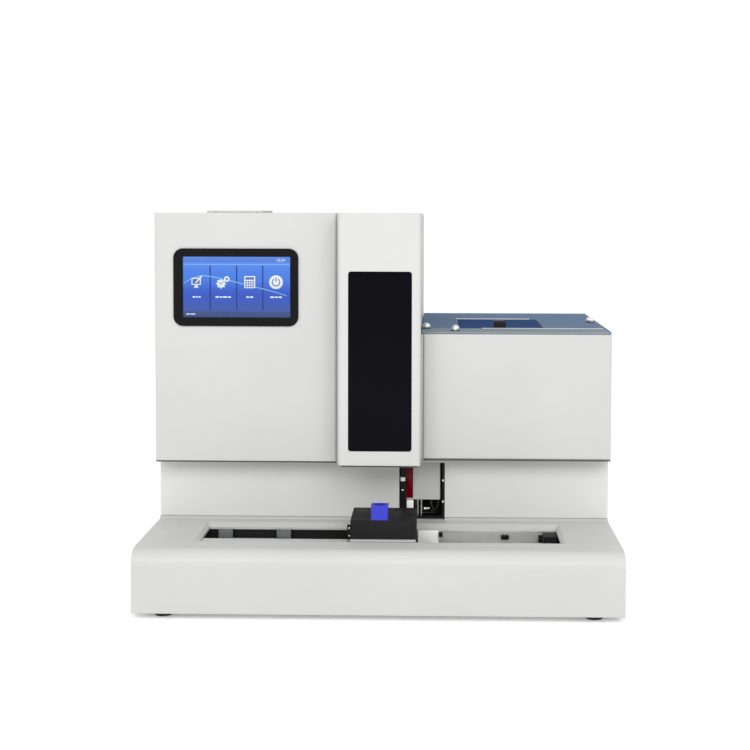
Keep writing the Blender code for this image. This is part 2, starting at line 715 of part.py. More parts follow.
def make_scanner():
    front = DECK_DEPTH + WALL + GAP
    low = Vector((SCAN_LEFT + SCAN_SIDE_LEFT, front, DECK_Z + GAP))
    high = Vector((SCAN_RIGHT - SCAN_SIDE_RIGHT, front + SCAN_BOX_DEPTH, DECK_Z + SCAN_HEIGHT + WALL))
    bracket = block("scanner_bracket", low, high, "black")
    cut(bracket, box_tool((SCANNER_LEFT, front - WALL, low.z + WALL),
                          (SCANNER_LEFT + SCANNER_WIDTH + SCANNER_PLAY, high.y - WALL, high.z - WALL)))
    join(bracket, box_tool((low.x, high.y - WALL, FLOOR_Z), (high.x, high.y, low.z + WALL)))
    scanner_z = DECK_Z + SCANNER_FOOT
    scanner = block("barcode_scanner", (SCANNER_LEFT + GAP, front + SCANNER_SETBACK, scanner_z),
                    (SCANNER_LEFT + SCANNER_WIDTH, high.y - WALL - GAP, scanner_z + SCANNER_HEIGHT), "silver")
    soften(scanner, SCANNER_EDGE, 2, segments=2)
    cut(scanner, box_tool((SCANNER_LEFT - WALL, front - WALL, scanner_z + SHEET),
                          (SCANNER_LEFT + SCANNER_WINDOW, front + SCANNER_WINDOW_DEPTH,
                           scanner_z + SCANNER_HEIGHT - SHEET)))


def make_tower_shell():
    low = Vector((LEFT, SHELL_FRONT, TOWER_Z))
    high = Vector((TOWER_RIGHT, DEPTH, TOWER_TOP))
    tower, inside = shell("tower_shell", low, high, "housing", ("+y",))
    soften(tower, TOWER_EDGE, 1, segments=3, where=lambda place: place.z > TOWER_TOP - WALL)
    screen_low, screen_high = screen_window()
    lug_right = printer_right() + PRINTER_LID + 2 * GAP
    lug_y = printer_axis()[1]
    for left in (PRINTER_LEFT - PRINTER_LID - 2 * GAP, printer_right() + 2 * GAP):
        join(tower, box_tool((left, lug_y - PRINTER_LID / 2, TOWER_TOP - SHEET),
                             (left + PRINTER_LID, lug_y + PRINTER_LID / 2, TOWER_TOP + GAP + PRINTER_LID)))
    jamb_front = COVER_BACK + COVER_HINGE_Y
    join(tower,
         box_tool((PANEL_RIGHT + GAP, STRIP_FRONT, TOWER_Z),
                  (TOWER_RIGHT, SHELL_FRONT + WALL / 2, TOWER_TOP)),
         box_tool((cover_axis().x + 2 * GAP, jamb_front, TOWER_Z), (TOWER_RIGHT, SHELL_FRONT, TOWER_TOP)))
    cut(tower, box_tool(*inside),
        box_tool((screen_low.x, SHELL_FRONT - WALL, screen_low.y),
                 (screen_high.x, SHELL_FRONT + 2 * WALL, screen_high.y)),
        box_tool((COVER_LEFT + WALL, STRIP_FRONT - 2 * WALL, TOWER_Z + 2 * WALL),
                 (TOWER_RIGHT - BAY_SIDE, SHELL_FRONT + 2 * WALL, TOWER_TOP - BAY_TOP_DROP)),
        box_tool((LEFT + 8 * WALL, DECK_DEPTH + 8 * WALL, TOWER_Z - WALL),
                 (PUMP_X - PUMP_WIDTH, REAR_Y - 8 * WALL, TOWER_Z + 2 * WALL)),
        box_tool(*printer_opening()),
        rod_tool((PRINTER_LEFT - 2 * PRINTER_LID, lug_y, printer_axis()[2]),
                 (lug_right + PRINTER_LID, lug_y, printer_axis()[2]), HATCH_PIN_RADIUS + PIN_PLAY,
                 sides=FINE),
        box_tool((LEFT + WALL, REAR_Y, TOWER_Z - WALL),
                 (TOWER_RIGHT - WALL, DEPTH + WALL, TOWER_TOP - WALL)),
        box_tool((TOWER_RIGHT - 2 * WALL, REAR_Y, TOWER_Z - WALL),
                 (TOWER_RIGHT + WALL, DEPTH + WALL, REAR_TOP_RIGHT + GAP)))


def screen_window():
    """The hole behind the touch panel, as x, z corners."""
    left = LEFT + SCREEN_LEFT + PANEL_BORDER_LEFT
    top = TOWER_TOP - SCREEN_TOP_DROP - PANEL_BORDER_TOP
    right = LEFT + SCREEN_LEFT + BEZEL_WIDTH - PANEL_BORDER_RIGHT
    bottom = TOWER_TOP - SCREEN_TOP_DROP - BEZEL_HEIGHT + PANEL_BORDER_BOTTOM
    return Vector((left, bottom)), Vector((right, top))


def make_tower_front():
    panel = block("tower_front_panel", (LEFT, TOWER_FRONT, TOWER_Z),
                  (PANEL_RIGHT, TOWER_FRONT + WALL, TOWER_TOP), "housing")
    soften(panel, PANEL_EDGE, 2, where=lambda place: place.y < TOWER_FRONT + WALL / 2)
    low, high = screen_window()
    cut(panel, box_tool((low.x - GAP, TOWER_FRONT - WALL, low.y - GAP),
                        (high.x + GAP, TOWER_FRONT + 2 * WALL, high.y + GAP)))
    bezel_left = LEFT + SCREEN_LEFT
    bezel_top = TOWER_TOP - SCREEN_TOP_DROP
    bezel = block("screen_bezel", (bezel_left, TOWER_FRONT - GAP - BEZEL_THICKNESS, bezel_top - BEZEL_HEIGHT),
                  (bezel_left + BEZEL_WIDTH, TOWER_FRONT - GAP, bezel_top), "gloss_black")
    soften(bezel, BEZEL_RADIUS, 1, segments=6)
    cut(bezel, box_tool((low.x - GAP, TOWER_FRONT - 4 * WALL, low.y - GAP),
                        (high.x + GAP, TOWER_FRONT + WALL, high.y + GAP)))
    block("touch_panel", (low.x + GAP, TOWER_FRONT - BEZEL_THICKNESS, low.y + GAP),
          (high.x - GAP, TOWER_FRONT + TOUCH_DEPTH, high.y - GAP), "display")


def cover_axis():
    return Vector((COVER_RIGHT - COVER_HINGE_X, COVER_BACK - COVER_HINGE_Y, COVER_Z))


def make_sampling_cover():
    axis = cover_axis()
    low = Vector((COVER_LEFT, COVER_FRONT, COVER_Z))
    high = Vector((COVER_RIGHT, COVER_BACK, TOWER_TOP))
    cover = block("sampling_cover", low, high, "housing", pivot=axis)
    soften(cover, COVER_RADIUS, 2, segments=4, where=lambda place: place.y < COVER_FRONT + WALL)
    window_low = Vector((low.x + WINDOW_LEFT, 0, low.z + WINDOW_BOTTOM))
    window_high = Vector((high.x - WINDOW_RIGHT, 0, low.z + WINDOW_BOTTOM + WINDOW_HEIGHT))
    opening = box_tool((window_low.x, low.y - WALL, window_low.z),
                       (window_high.x, low.y + 2 * WALL, window_high.z))
    soften(opening, WINDOW_RADIUS, 1, segments=4)
    cut(cover,
        box_tool((low.x + WALL, low.y + WALL, low.z + WALL), (high.x - WALL, high.y + WALL, high.z - WALL)),
        box_tool((low.x + WALL, low.y + WALL, low.z - WALL),
                 (high.x - GUSSET, high.y + WALL, low.z + 2 * WALL)),
        box_tool((high.x - 2 * GUSSET, low.y + WALL, low.z - WALL),
                 (high.x - WALL, high.y - GUSSET, low.z + 2 * WALL)),
        box_tool((high.x - 1.5 * WALL, axis.y - GAP, low.z + WALL),
                 (high.x + WALL, high.y + WALL, high.z - WALL)),
        opening,
        rod_tool((axis.x, axis.y, low.z - WALL), (axis.x, axis.y, high.z + WALL),
                 HINGE_PIN_RADIUS + PIN_PLAY, sides=FINE))
    window = block("cover_window", (window_low.x + GAP, low.y + WINDOW_SETBACK, window_low.z + GAP),
                   (window_high.x - GAP, low.y + WALL, window_high.z - GAP), "gloss_black", pivot=axis)
    soften(window, WINDOW_RADIUS - GAP, 1, segments=4)


def make_cover_hinges():
    """Two lugs on the tower's bay frame, each with a pin that the cover turns on."""
    axis = cover_axis()
    for place, base, tip in (("upper", TOWER_TOP - WALL - GAP, TOWER_TOP - PIN_RECESS),
                             ("lower", COVER_Z + WALL + GAP, COVER_Z + PIN_RECESS)):
        rise = -HINGE_LUG if tip > base else HINGE_LUG
        low_z = min(base, base + rise)
        lug = block(f"cover_hinge_{place}", (axis.x - 2 * WALL, axis.y - COVER_HINGE_Y, low_z),
                    (axis.x + GAP / 2, STRIP_FRONT - GAP, low_z + HINGE_LUG), "steel")
        soften(lug, LUG_EDGE, 2, segments=2)
        join(lug, rod_tool((axis.x, axis.y, base + rise * 0.9), (axis.x, axis.y, tip), HINGE_PIN_RADIUS,
                           sides=FINE))


def make_needle_lift():
    plate_front = SHELL_FRONT + LIFT_PLATE_SETBACK
    right = TOWER_RIGHT - WALL - 3 * GAP
    frame = block("lift_frame", (ROD_X - 4 * ROD_RADIUS, plate_front, LIFT_PLATE_Z),
                  (right, plate_front + LIFT_PLATE_THICKNESS, LIFT_PLATE_Z + LIFT_PLATE_HEIGHT), "aluminium")
    rod_low = PULLEY_LOW_Z - PULLEY_RADIUS
    rod_high = PULLEY_HIGH_Z + PULLEY_RADIUS
    boss = 2 * ROD_RADIUS
    for base, tip in ((rod_low - boss, rod_low), (rod_high, rod_high + boss)):
        join(frame, box_tool((ROD_X - boss, ROD_Y - boss, base), (ROD_X + boss, plate_front + SHEET, tip)))
    for z in (PULLEY_LOW_Z, PULLEY_HIGH_Z):
        cut(frame, rod_tool((PULLEY_X, plate_front - WALL, z),
                            (PULLEY_X, plate_front + LIFT_PLATE_THICKNESS + WALL, z),
                            SHAFT_RADIUS + PIN_PLAY, sides=16))
    join(frame, rod_tool((ROD_X, ROD_Y, rod_low - SHEET), (ROD_X, ROD_Y, rod_high + SHEET), ROD_RADIUS,
                         sides=20))
    motor_y = plate_front + LIFT_PLATE_THICKNESS + GAP
    motor = block("lift_motor", (PULLEY_X - MOTOR_SIZE / 2, motor_y, PULLEY_HIGH_Z - MOTOR_SIZE / 2),
                  (PULLEY_X + MOTOR_SIZE / 2, motor_y + MOTOR_LENGTH, PULLEY_HIGH_Z + MOTOR_SIZE / 2),
                  "black")
    soften(motor, WALL, 1, segments=2)
    pulley_y = ROD_Y - PULLEY_WIDTH
    for place, z in (("upper", PULLEY_HIGH_Z), ("lower", PULLEY_LOW_Z)):
        axis = Vector((PULLEY_X, pulley_y, z))
        pulley = rod(f"lift_pulley_{place}", axis, axis + Vector((0, PULLEY_WIDTH, 0)), PULLEY_RADIUS,
                     "aluminium", pivot=axis)
        join(pulley, rod_tool((PULLEY_X, pulley_y + SHEET, z),
                              (PULLEY_X, plate_front + LIFT_PLATE_THICKNESS, z), SHAFT_RADIUS, sides=16))
        for turn in range(PULLEY_HOLES):
            angle = math.tau * turn / PULLEY_HOLES
            hole = Vector((math.cos(angle), 0, math.sin(angle))) * PULLEY_HOLE_CIRCLE
            cut(pulley, rod_tool(axis + hole + Vector((0, -SHEET, 0)),
                                 axis + hole + Vector((0, PULLEY_WIDTH / 2, 0)), PULLEY_HOLE_RADIUS, sides=8))
    make_belt(pulley_y)
    make_needle(plate_front)


def make_belt(pulley_y):
    """A closed loop round both pulleys, flat on its two runs."""
    inner = PULLEY_RADIUS + GAP
    outer = inner + BELT_THICKNESS
    front = pulley_y + (PULLEY_WIDTH - BELT_WIDTH) / 2
    back = front + BELT_WIDTH
    belt = block("lift_belt", (PULLEY_X - outer, front, PULLEY_LOW_Z),
                 (PULLEY_X + outer, back, PULLEY_HIGH_Z), "rubber")
    for z in (PULLEY_LOW_Z, PULLEY_HIGH_Z):
        join(belt, rod_tool((PULLEY_X, front, z), (PULLEY_X, back, z), outer))
    cut(belt, box_tool((PULLEY_X - inner, front - WALL, PULLEY_LOW_Z),
                       (PULLEY_X + inner, back + WALL, PULLEY_HIGH_Z)))
    for z in (PULLEY_LOW_Z, PULLEY_HIGH_Z):
        cut(belt, rod_tool((PULLEY_X, front - WALL, z), (PULLEY_X, back + WALL, z), inner))


def make_needle(plate_front):
    base = TOWER_Z + CARRIAGE_RISE
    tip = TOWER_Z + NEEDLE_TIP_RISE
    belt_left = PULLEY_X - PULLEY_RADIUS - GAP - BELT_THICKNESS
    carriage = block("needle_carriage", (ROD_X - 3 * ROD_RADIUS, NEEDLE_Y - CARRIAGE_FRONT, base),
                     (belt_left - GAP, plate_front - WALL, base + CARRIAGE_HEIGHT), "aluminium")
    soften(carriage, CARRIAGE_EDGE, 2, segments=2)
    cut(carriage, rod_tool((ROD_X, ROD_Y, base - WALL), (ROD_X, ROD_Y, base + CARRIAGE_HEIGHT + WALL),
                           ROD_RADIUS + PIN_PLAY, sides=20),
        rod_tool((NEEDLE_X, NEEDLE_Y, base - WALL), (NEEDLE_X, NEEDLE_Y, base + CARRIAGE_HEIGHT + WALL),
                 NEEDLE_RADIUS + GAP, sides=FINE))
    fitting = base + CARRIAGE_HEIGHT + GAP
    needle = rod("sampling_needle", (NEEDLE_X, NEEDLE_Y, tip), (NEEDLE_X, NEEDLE_Y, fitting + WALL),
                 NEEDLE_RADIUS, "chrome", sides=FINE)
    join(needle, rod_tool((NEEDLE_X, NEEDLE_Y, fitting), (NEEDLE_X, NEEDLE_Y, fitting + 4 * WALL), WALL,
                          sides=6))


def make_pump():
    low = Vector((PUMP_X, PUMP_Y, TOWER_Z + WALL + GAP))
    high = low + Vector((PUMP_WIDTH, PUMP_DEPTH, PUMP_HEIGHT))
    centre = (low + high) / 2
    split = high.z - BARREL_LENGTH - 2 * WALL
    frame = block("syringe_pump", low, high, "silver")
    cut(frame, box_tool((low.x + 2 * WALL, low.y - WALL, low.z + 2 * WALL),
                        (high.x - 2 * WALL, high.y - 2 * WALL, high.z - 2 * WALL)))
    line = centre.y - SHEET
    barrel_high = Vector((centre.x, line, high.z - 2 * WALL - GAP))
    barrel_low = barrel_high - Vector((0, 0, BARREL_LENGTH))
    barrel = rod("syringe_barrel", barrel_low, barrel_high, BARREL_RADIUS, "glass")
    cut(barrel, rod_tool(barrel_low - Vector((0, 0, WALL)), barrel_high - Vector((0, 0, WALL)),
                         BARREL_RADIUS - SHEET))
    top = barrel_high.z - 2 * WALL
    bore = BARREL_RADIUS - SHEET - PIN_PLAY
    plunger = rod("syringe_plunger", (centre.x, line, top - 2 * WALL), (centre.x, line, top), bore, "white")
    join(plunger,
         rod_tool((centre.x, line, split - 2 * WALL), (centre.x, line, top - WALL), WALL, sides=FINE),
         rod_tool((centre.x, line, split - 3 * WALL), (centre.x, line, split - 2 * WALL + GAP), BARREL_RADIUS,
                  sides=20))


def make_strip_housing():
    low = Vector((STRIP_LEFT, STRIP_FRONT + WALL + GAP, STRIP_Z))
    high = Vector((RIGHT, DEPTH, STRIP_TOP))
    housing, inside = shell("strip_housing", low, high, "housing", ("+y", "-y"))
    drawer_z = STRIP_Z + WALL
    flange = STRIP_FRONT + LID_LENGTH
    cut(housing, box_tool(*inside),
        box_tool((low.x + WALL, low.y - WALL, high.z - 2 * WALL), (high.x - WALL, flange, high.z + WALL)),
        box_tool((high.x - 2 * WALL, DRAWER_FRONT_Y, drawer_z),
                 (high.x + WALL, DRAWER_FRONT_Y + DRAWER_LENGTH_Y, drawer_z + DRAWER_HEIGHT)))
    cut(housing, box_tool((LEFT, REAR_Y, BASE_Z), (RIGHT - WALL, DEPTH + WALL, REAR_TOP_RIGHT + GAP)))
    panel = block("strip_front_panel", (STRIP_LEFT, STRIP_FRONT, STRIP_Z),
                  (RIGHT, STRIP_FRONT + WALL, STRIP_TOP), "housing")
    for along in (2, 0):
        soften(panel, PANEL_EDGE, along, where=lambda place: place.y < STRIP_FRONT + WALL / 2)


def hatch_box():
    low = Vector((STRIP_LEFT + HATCH_LEFT, STRIP_FRONT + HATCH_FRONT, LID_Z))
    return low, low + Vector((HATCH_WIDTH, HATCH_LENGTH, LID_THICKNESS))


def hatch_axis():
    low, high = hatch_box()
    return Vector((low.x + HATCH_WIDTH / 2, high.y - HATCH_PIN_INSET, LID_Z + LID_THICKNESS / 2))


def make_lid():
    low, high = hatch_box()
    axis = hatch_axis()
    lid = block("top_lid", (STRIP_LEFT - LID_OVERHANG, STRIP_FRONT + LID_SIDE, LID_Z),
                (RIGHT - LID_SIDE, STRIP_FRONT + LID_LENGTH, LID_TOP), "lid_tint")
    soften(lid, LID_THICKNESS, 2, where=lambda place: place.x > RIGHT - WALL)
    reach = HATCH_PIN_LENGTH + SHEET / 2
    cut(lid, box_tool((low.x, low.y, LID_Z - WALL), (high.x, high.y, LID_TOP + WALL)),
        rod_tool((low.x - reach, axis.y, axis.z), (high.x + reach, axis.y, axis.z),
                 HATCH_PIN_RADIUS + PIN_PLAY, sides=FINE))
    hatch = block("hopper_hatch", (low.x + HATCH_SIDE, low.y + HATCH_SIDE, LID_Z),
                  (high.x - HATCH_SIDE, high.y - HATCH_SIDE, LID_TOP), "lid_tint", pivot=axis)
    join(hatch, rod_tool((low.x - HATCH_PIN_LENGTH, axis.y, axis.z),
                         (high.x + HATCH_PIN_LENGTH, axis.y, axis.z), HATCH_PIN_RADIUS, sides=FINE))
    middle = (low.x + high.x) / 2 + KNOB_OFFSET
    knob_y = low.y + HATCH_SIDE + KNOB_SETBACK
    knob = block("hatch_knob", (middle - KNOB_WIDTH / 2, knob_y, LID_TOP + GAP),
                 (middle + KNOB_WIDTH / 2, knob_y + KNOB_DEPTH, LID_TOP + GAP + KNOB_HEIGHT),
                 "black", pivot=axis)
    soften(knob, KNOB_EDGE, 0, segments=2, where=lambda place: place.z > LID_TOP + KNOB_HEIGHT / 2)
    make_lid_screws()


def make_lid_screws():
    """Dome-headed screws that hold the lid, turned from a quarter-round profile."""
    places = ((STRIP_LEFT + LID_SCREW_LEFT[0], STRIP_FRONT + LID_SCREW_LEFT[1]),
              (STRIP_LEFT + LID_SCREW_FRONT[0], STRIP_FRONT + LID_SCREW_FRONT[1]),
              (RIGHT - LID_SCREW_RIGHT[0], STRIP_FRONT + LID_SCREW_RIGHT[1]))
    dome = SCREW_RADIUS * SCREW_DOME
    neck = SCREW_RADIUS * SCREW_NECK
    for number, (x, y) in enumerate(places, start=1):
        mesh = bpy.data.meshes.new(f"lid_screw_{number}")
        form = bmesh.new()
        points = [(0.0, 0.0, SCREW_RISE + dome)]
        for step in range(1, SCREW_ARCS + 1):
            angle = math.pi / 2 * (1 - step / SCREW_ARCS)
            points.append((SCREW_RADIUS * math.cos(angle), 0, SCREW_RISE + dome * math.sin(angle)))
        points += [(neck, 0, SCREW_RISE * 0.8), (neck, 0, 0), (0, 0, 0)]
        corners = [form.verts.new(point) for point in points]
        for start, end in zip(corners, corners[1:]):
            form.edges.new((start, end))
        form.to_mesh(mesh)
        form.free()
        screw = add_part(f"lid_screw_{number}", mesh, "chrome", (x, y, LID_TOP + GAP))
        turn = screw.modifiers.new("turn", 'SCREW')
        turn.steps = 20
        turn.render_steps = 20
        turn.merge_threshold = 0.00005
        turn.use_merge_vertices = True
        turn.use_smooth_shade = True


def make_feeder():
    low, high = hatch_box()
    outer_low = Vector((low.x - SHEET, low.y + SHEET, LID_Z - HOPPER_DEPTH))
    outer_high = Vector((high.x + SHEET, high.y + 2 * SHEET, STRIP_TOP - GAP * 2))
    hopper = block("strip_hopper", outer_low, outer_high, "white")
    floor = outer_low.z + SHEET
    cut(hopper, box_tool((outer_low.x + HOPPER_WALL, outer_low.y + SHEET, floor),
                         (outer_high.x - HOPPER_WALL, outer_high.y - SHEET, outer_high.z + WALL)),
        box_tool((outer_low.x + 2 * HOPPER_WALL, DRUM_Y - HOPPER_SLOT / 2, outer_low.z - WALL),
                 (outer_high.x - 2 * HOPPER_WALL, DRUM_Y + HOPPER_SLOT / 2, floor + WALL)),
        box_tool((outer_low.x - WALL, hatch_axis().y - 2 * WALL, outer_high.z - 1.5 * WALL),
                 (outer_high.x + WALL, hatch_axis().y + 2 * WALL, outer_high.z + WALL)))
    platform = block("strip_platform", (STRIP_LEFT + WALL + GAP, STRIP_FRONT + 3 * WALL, PLATFORM_Z),
                     (RIGHT - WALL - GAP, REAR_Y - 2 * WALL, PLATFORM_Z + SHEET), "aluminium")
    centre = (low.x + high.x) / 2
    frame_y = (DRUM_Y - FRAME_DEPTH / 2, DRUM_Y + FRAME_DEPTH / 2)
    optics_back = frame_y[0] - SHEET
    slot_back = optics_back - OPTICS_DEPTH - STRIP_SLOT_GAP
    half = DRUM_LENGTH / 2
    cut(platform, box_tool((centre - half, slot_back - STRIP_SLOT, PLATFORM_Z - WALL),
                           (centre + half, slot_back, PLATFORM_Z + WALL)))
    drum = rod("strip_drum", (centre - half, DRUM_Y, DRUM_Z), (centre + half, DRUM_Y, DRUM_Z),
               DRUM_RADIUS, "white", pivot=(centre, DRUM_Y, DRUM_Z), sides=32)
    plate_inner = DRUM_LENGTH / 2 + SHEET
    plate_outer = plate_inner + FRAME_PLATE
    shaft_half = plate_outer - GAP
    join(drum, rod_tool((centre - shaft_half, DRUM_Y, DRUM_Z), (centre + shaft_half, DRUM_Y, DRUM_Z),
                        DRUM_SHAFT_RADIUS, sides=16))
    groove_z = DRUM_Z + DRUM_RADIUS - DRUM_GROOVE
    cut(drum, box_tool((centre - half - WALL, DRUM_Y - DRUM_GROOVE_WIDTH / 2, groove_z),
                       (centre + half + WALL, DRUM_Y + DRUM_GROOVE_WIDTH / 2, DRUM_Z + 2 * DRUM_RADIUS)))
    frame_z = PLATFORM_Z + SHEET + GAP
    frame = block("feeder_frame", (centre - plate_outer, frame_y[0], frame_z),
                  (centre + plate_outer, frame_y[1], outer_low.z - GAP), "steel")
    cut(frame, box_tool((centre - plate_inner, frame_y[0] - WALL, frame_z + SHEET / 2),
                        (centre + plate_inner, frame_y[1] + WALL, outer_low.z + WALL)),
        rod_tool((centre - plate_outer - WALL, DRUM_Y, DRUM_Z), (centre + plate_outer + WALL, DRUM_Y, DRUM_Z),
                 DRUM_SHAFT_RADIUS + PIN_PLAY, sides=16))
    optics = block("optics_head", (centre - half, optics_back - OPTICS_DEPTH, frame_z),
                   (centre + half, optics_back, outer_low.z - OPTICS_AIR), "black")
    cut(optics, box_tool((centre - half + 2 * WALL, optics_back - OPTICS_DEPTH - WALL, frame_z - WALL),
                         (centre + half - 2 * WALL, optics_back + WALL, frame_z + OPTICS_CLEARANCE)))


def make_drawer():
    z = STRIP_Z + WALL + SLIDE_PLAY
    front_low = Vector((RIGHT - WALL, DRAWER_FRONT_Y + SLIDE_PLAY, z))
    front_high = Vector((RIGHT, DRAWER_FRONT_Y + DRAWER_LENGTH_Y - SLIDE_PLAY,
                         STRIP_Z + WALL + DRAWER_HEIGHT - SLIDE_PLAY))
    drawer = block("waste_drawer", (RIGHT - DRAWER_REACH, front_low.y + 2 * SHEET, z),
                   (RIGHT - SHEET, front_high.y - 2 * SHEET, front_high.z - SHEET), "white")
    join(drawer, box_tool(front_low, front_high))
    grip_y = (front_low.y + front_high.y) / 2
    cut(drawer, box_tool((RIGHT - DRAWER_REACH + SHEET, front_low.y + 3 * SHEET, z + SHEET),
                         (RIGHT - WALL, front_high.y - 3 * SHEET, front_high.z + SHEET)),
        box_tool((RIGHT - 2 * WALL, grip_y - DRAWER_GRIP / 2, front_high.z - DRAWER_GRIP_DROP),
                 (RIGHT + WALL, grip_y + DRAWER_GRIP / 2, front_high.z + SHEET)))


def printer_right():
    return PRINTER_LEFT + PRINTER_WIDTH


def printer_axis():
    return Vector((PRINTER_LEFT + PRINTER_WIDTH / 2, PRINTER_FRONT + PRINTER_LENGTH - PRINTER_LID / 2,
                   TOWER_TOP + GAP + PRINTER_LID / 2))


def printer_opening():
    return (Vector((PRINTER_LEFT + PRINTER_EDGE, PRINTER_FRONT + PRINTER_EDGE, TOWER_TOP - 2 * WALL)),
            Vector((printer_right() - PRINTER_EDGE, PRINTER_FRONT + PRINTER_LENGTH - PRINTER_EDGE,
                    TOWER_TOP + WALL)))


def make_printer():
    opening_low, opening_high = printer_opening()
    low = Vector((opening_low.x + GAP, opening_low.y + GAP, TOWER_TOP - BAY_DEPTH))
    high = Vector((opening_high.x - GAP, opening_high.y - GAP, TOWER_TOP))
    bay = block("printer_bay", low, high, "black")
    flange_top = TOWER_TOP - WALL - GAP
    join(bay, box_tool((low.x - PRINTER_FLANGE, low.y - PRINTER_FLANGE, flange_top - SHEET),
                       (high.x + PRINTER_FLANGE, high.y + PRINTER_FLANGE, flange_top)))
    cut(bay, box_tool((low.x + SHEET, low.y + SHEET, low.z + SHEET),
                      (high.x - SHEET, high.y - SHEET, high.z + WALL)))
    axis = printer_axis()
    roll_y = low.y + SHEET + PAPER_BACK
    roll_z = low.z + SHEET + GAP + PAPER_RADIUS
    half = PAPER_WIDTH / 2
    roll = rod("paper_roll", (axis.x - half, roll_y, roll_z), (axis.x + half, roll_y, roll_z),
               PAPER_RADIUS, "paper", pivot=(axis.x, roll_y, roll_z), sides=32)
    cut(roll, rod_tool((axis.x - 2 * half, roll_y, roll_z), (axis.x + 2 * half, roll_y, roll_z), PAPER_CORE,
                       sides=16))
    lid_z = TOWER_TOP + GAP
    lid = block("printer_lid", (PRINTER_LEFT, PRINTER_FRONT, lid_z),
                (printer_right(), PRINTER_FRONT + PRINTER_LENGTH, lid_z + PRINTER_LID), "housing", pivot=axis)
    soften(lid, PRINTER_LID / 2 - GAP / 3, 0, segments=4, where=lambda place: place.y > axis.y)
    join(lid, rod_tool((PRINTER_LEFT - PRINTER_LID, axis.y, axis.z),
                       (printer_right() + PRINTER_LID, axis.y, axis.z), HATCH_PIN_RADIUS, sides=FINE))
    platen_y = PRINTER_FRONT + PLATEN_BACK
    platen_z = lid_z - PLATEN_DROP
    roller_half = half + PLATEN_SIDE
    ear = SHEET
    ear_half = 4 * WALL / 3
    for side in (-1, 1):
        inner = axis.x + side * (roller_half + GAP)
        outer = inner + side * ear
        join(lid, box_tool((min(inner, outer), platen_y - ear_half, platen_z - WALL),
                           (max(inner, outer), platen_y + ear_half, lid_z + PRINTER_LID / 2)))
    cut(lid, rod_tool((axis.x - roller_half - 2 * ear, platen_y, platen_z),
                      (axis.x + roller_half + 2 * ear, platen_y, platen_z), PLATEN_SHAFT + PIN_PLAY,
                      sides=FINE))
    platen = rod("platen_roller", (axis.x - roller_half, platen_y, platen_z),
                 (axis.x + roller_half, platen_y, platen_z), PLATEN_RADIUS, "rubber",
                 pivot=(axis.x, platen_y, platen_z), sides=20)
    join(platen, rod_tool((axis.x - roller_half - ear, platen_y, platen_z),
                          (axis.x + roller_half + ear, platen_y, platen_z), PLATEN_SHAFT, sides=FINE))


def make_rear_panel():
    back = DEPTH - REAR_SETBACK
    panel = block("rear_panel", (LEFT + WALL + GAP, REAR_Y + GAP, BASE_Z + SHEET + GAP),
                  (RIGHT - WALL - GAP, back, REAR_TOP_RIGHT), "housing")
    join(panel, box_tool((LEFT + WALL + GAP, REAR_Y + GAP, STRIP_Z),
                         (TOWER_RIGHT - WALL - GAP, back, TOWER_TOP - WALL - GAP)))
    slots = int((FAN_BORE - FAN_SLOT) / FAN_SLOT_PITCH)
    for number in range(-slots, slots + 1):
        offset = number * FAN_SLOT_PITCH
        half = math.sqrt((FAN_BORE - 2 * GAP) ** 2 - offset ** 2)
        cut(panel, box_tool((FAN_X + offset - FAN_SLOT / 2, REAR_Y - WALL, FAN_Z - half),
                            (FAN_X + offset + FAN_SLOT / 2, DEPTH + WALL, FAN_Z + half)))
    cut(panel, box_tool((INLET_X - GAP, REAR_Y - WALL, INLET_Z - GAP),
                        (INLET_X + INLET_WIDTH + GAP, DEPTH + WALL, INLET_Z + INLET_HEIGHT + GAP)))


def make_fan():
    back = REAR_Y
    front = back - FAN_DEPTH
    half = FAN_SIZE / 2
    frame = block("fan_frame", (FAN_X - half, front, FAN_Z - half), (FAN_X + half, back, FAN_Z + half),
                  "black")
    cut(frame, rod_tool((FAN_X, front - WALL, FAN_Z), (FAN_X, back + WALL, FAN_Z), FAN_BORE, sides=32))
    hub_front = back - FAN_SPOKE
    arm = half - WALL / 2
    strut = FAN_SPOKE_WIDTH / 2
    join(frame, box_tool((FAN_X - arm, hub_front, FAN_Z - strut), (FAN_X + arm, back, FAN_Z + strut)),
         box_tool((FAN_X - strut, hub_front, FAN_Z - arm), (FAN_X + strut, back, FAN_Z + arm)),
         rod_tool((FAN_X, hub_front - GAP / 3, FAN_Z), (FAN_X, back + GAP / 3, FAN_Z), FAN_HUB_RADIUS,
                  sides=20))
    axis = Vector((FAN_X, front, FAN_Z))
    rotor = rod("fan_rotor", axis + Vector((0, SHEET, 0)), (FAN_X, hub_front - 2 * GAP, FAN_Z),
                FAN_HUB_RADIUS, "black", pivot=axis, sides=20)
    blade_y = (front + SHEET + hub_front) / 2
    for number in range(FAN_BLADES):
        blade = box_tool((FAN_HUB_RADIUS - WALL, -BLADE_THICKNESS / 2, -BLADE_WIDTH / 2),
                         (FAN_BORE - BLADE_CLEARANCE, BLADE_THICKNESS / 2, BLADE_WIDTH / 2))
        pitch = Matrix.Rotation(BLADE_PITCH, 4, 'X')
        turn = Matrix.Rotation(math.tau * number / FAN_BLADES, 4, 'Y')
        shift = Matrix.Translation((FAN_X, blade_y, FAN_Z))
        blade.data.transform(Matrix.Translation(blade.location))
        blade.data.transform(shift @ turn @ pitch)
        blade.location = (0, 0, 0)
        join(rotor, blade)


def rocker_axis():
    return Vector((INLET_X + INLET_WIDTH - ROCKER_MARGIN - ROCKER_WIDTH / 2, DEPTH - ROCKER_SETBACK,
                   INLET_Z + INLET_HEIGHT / 2))


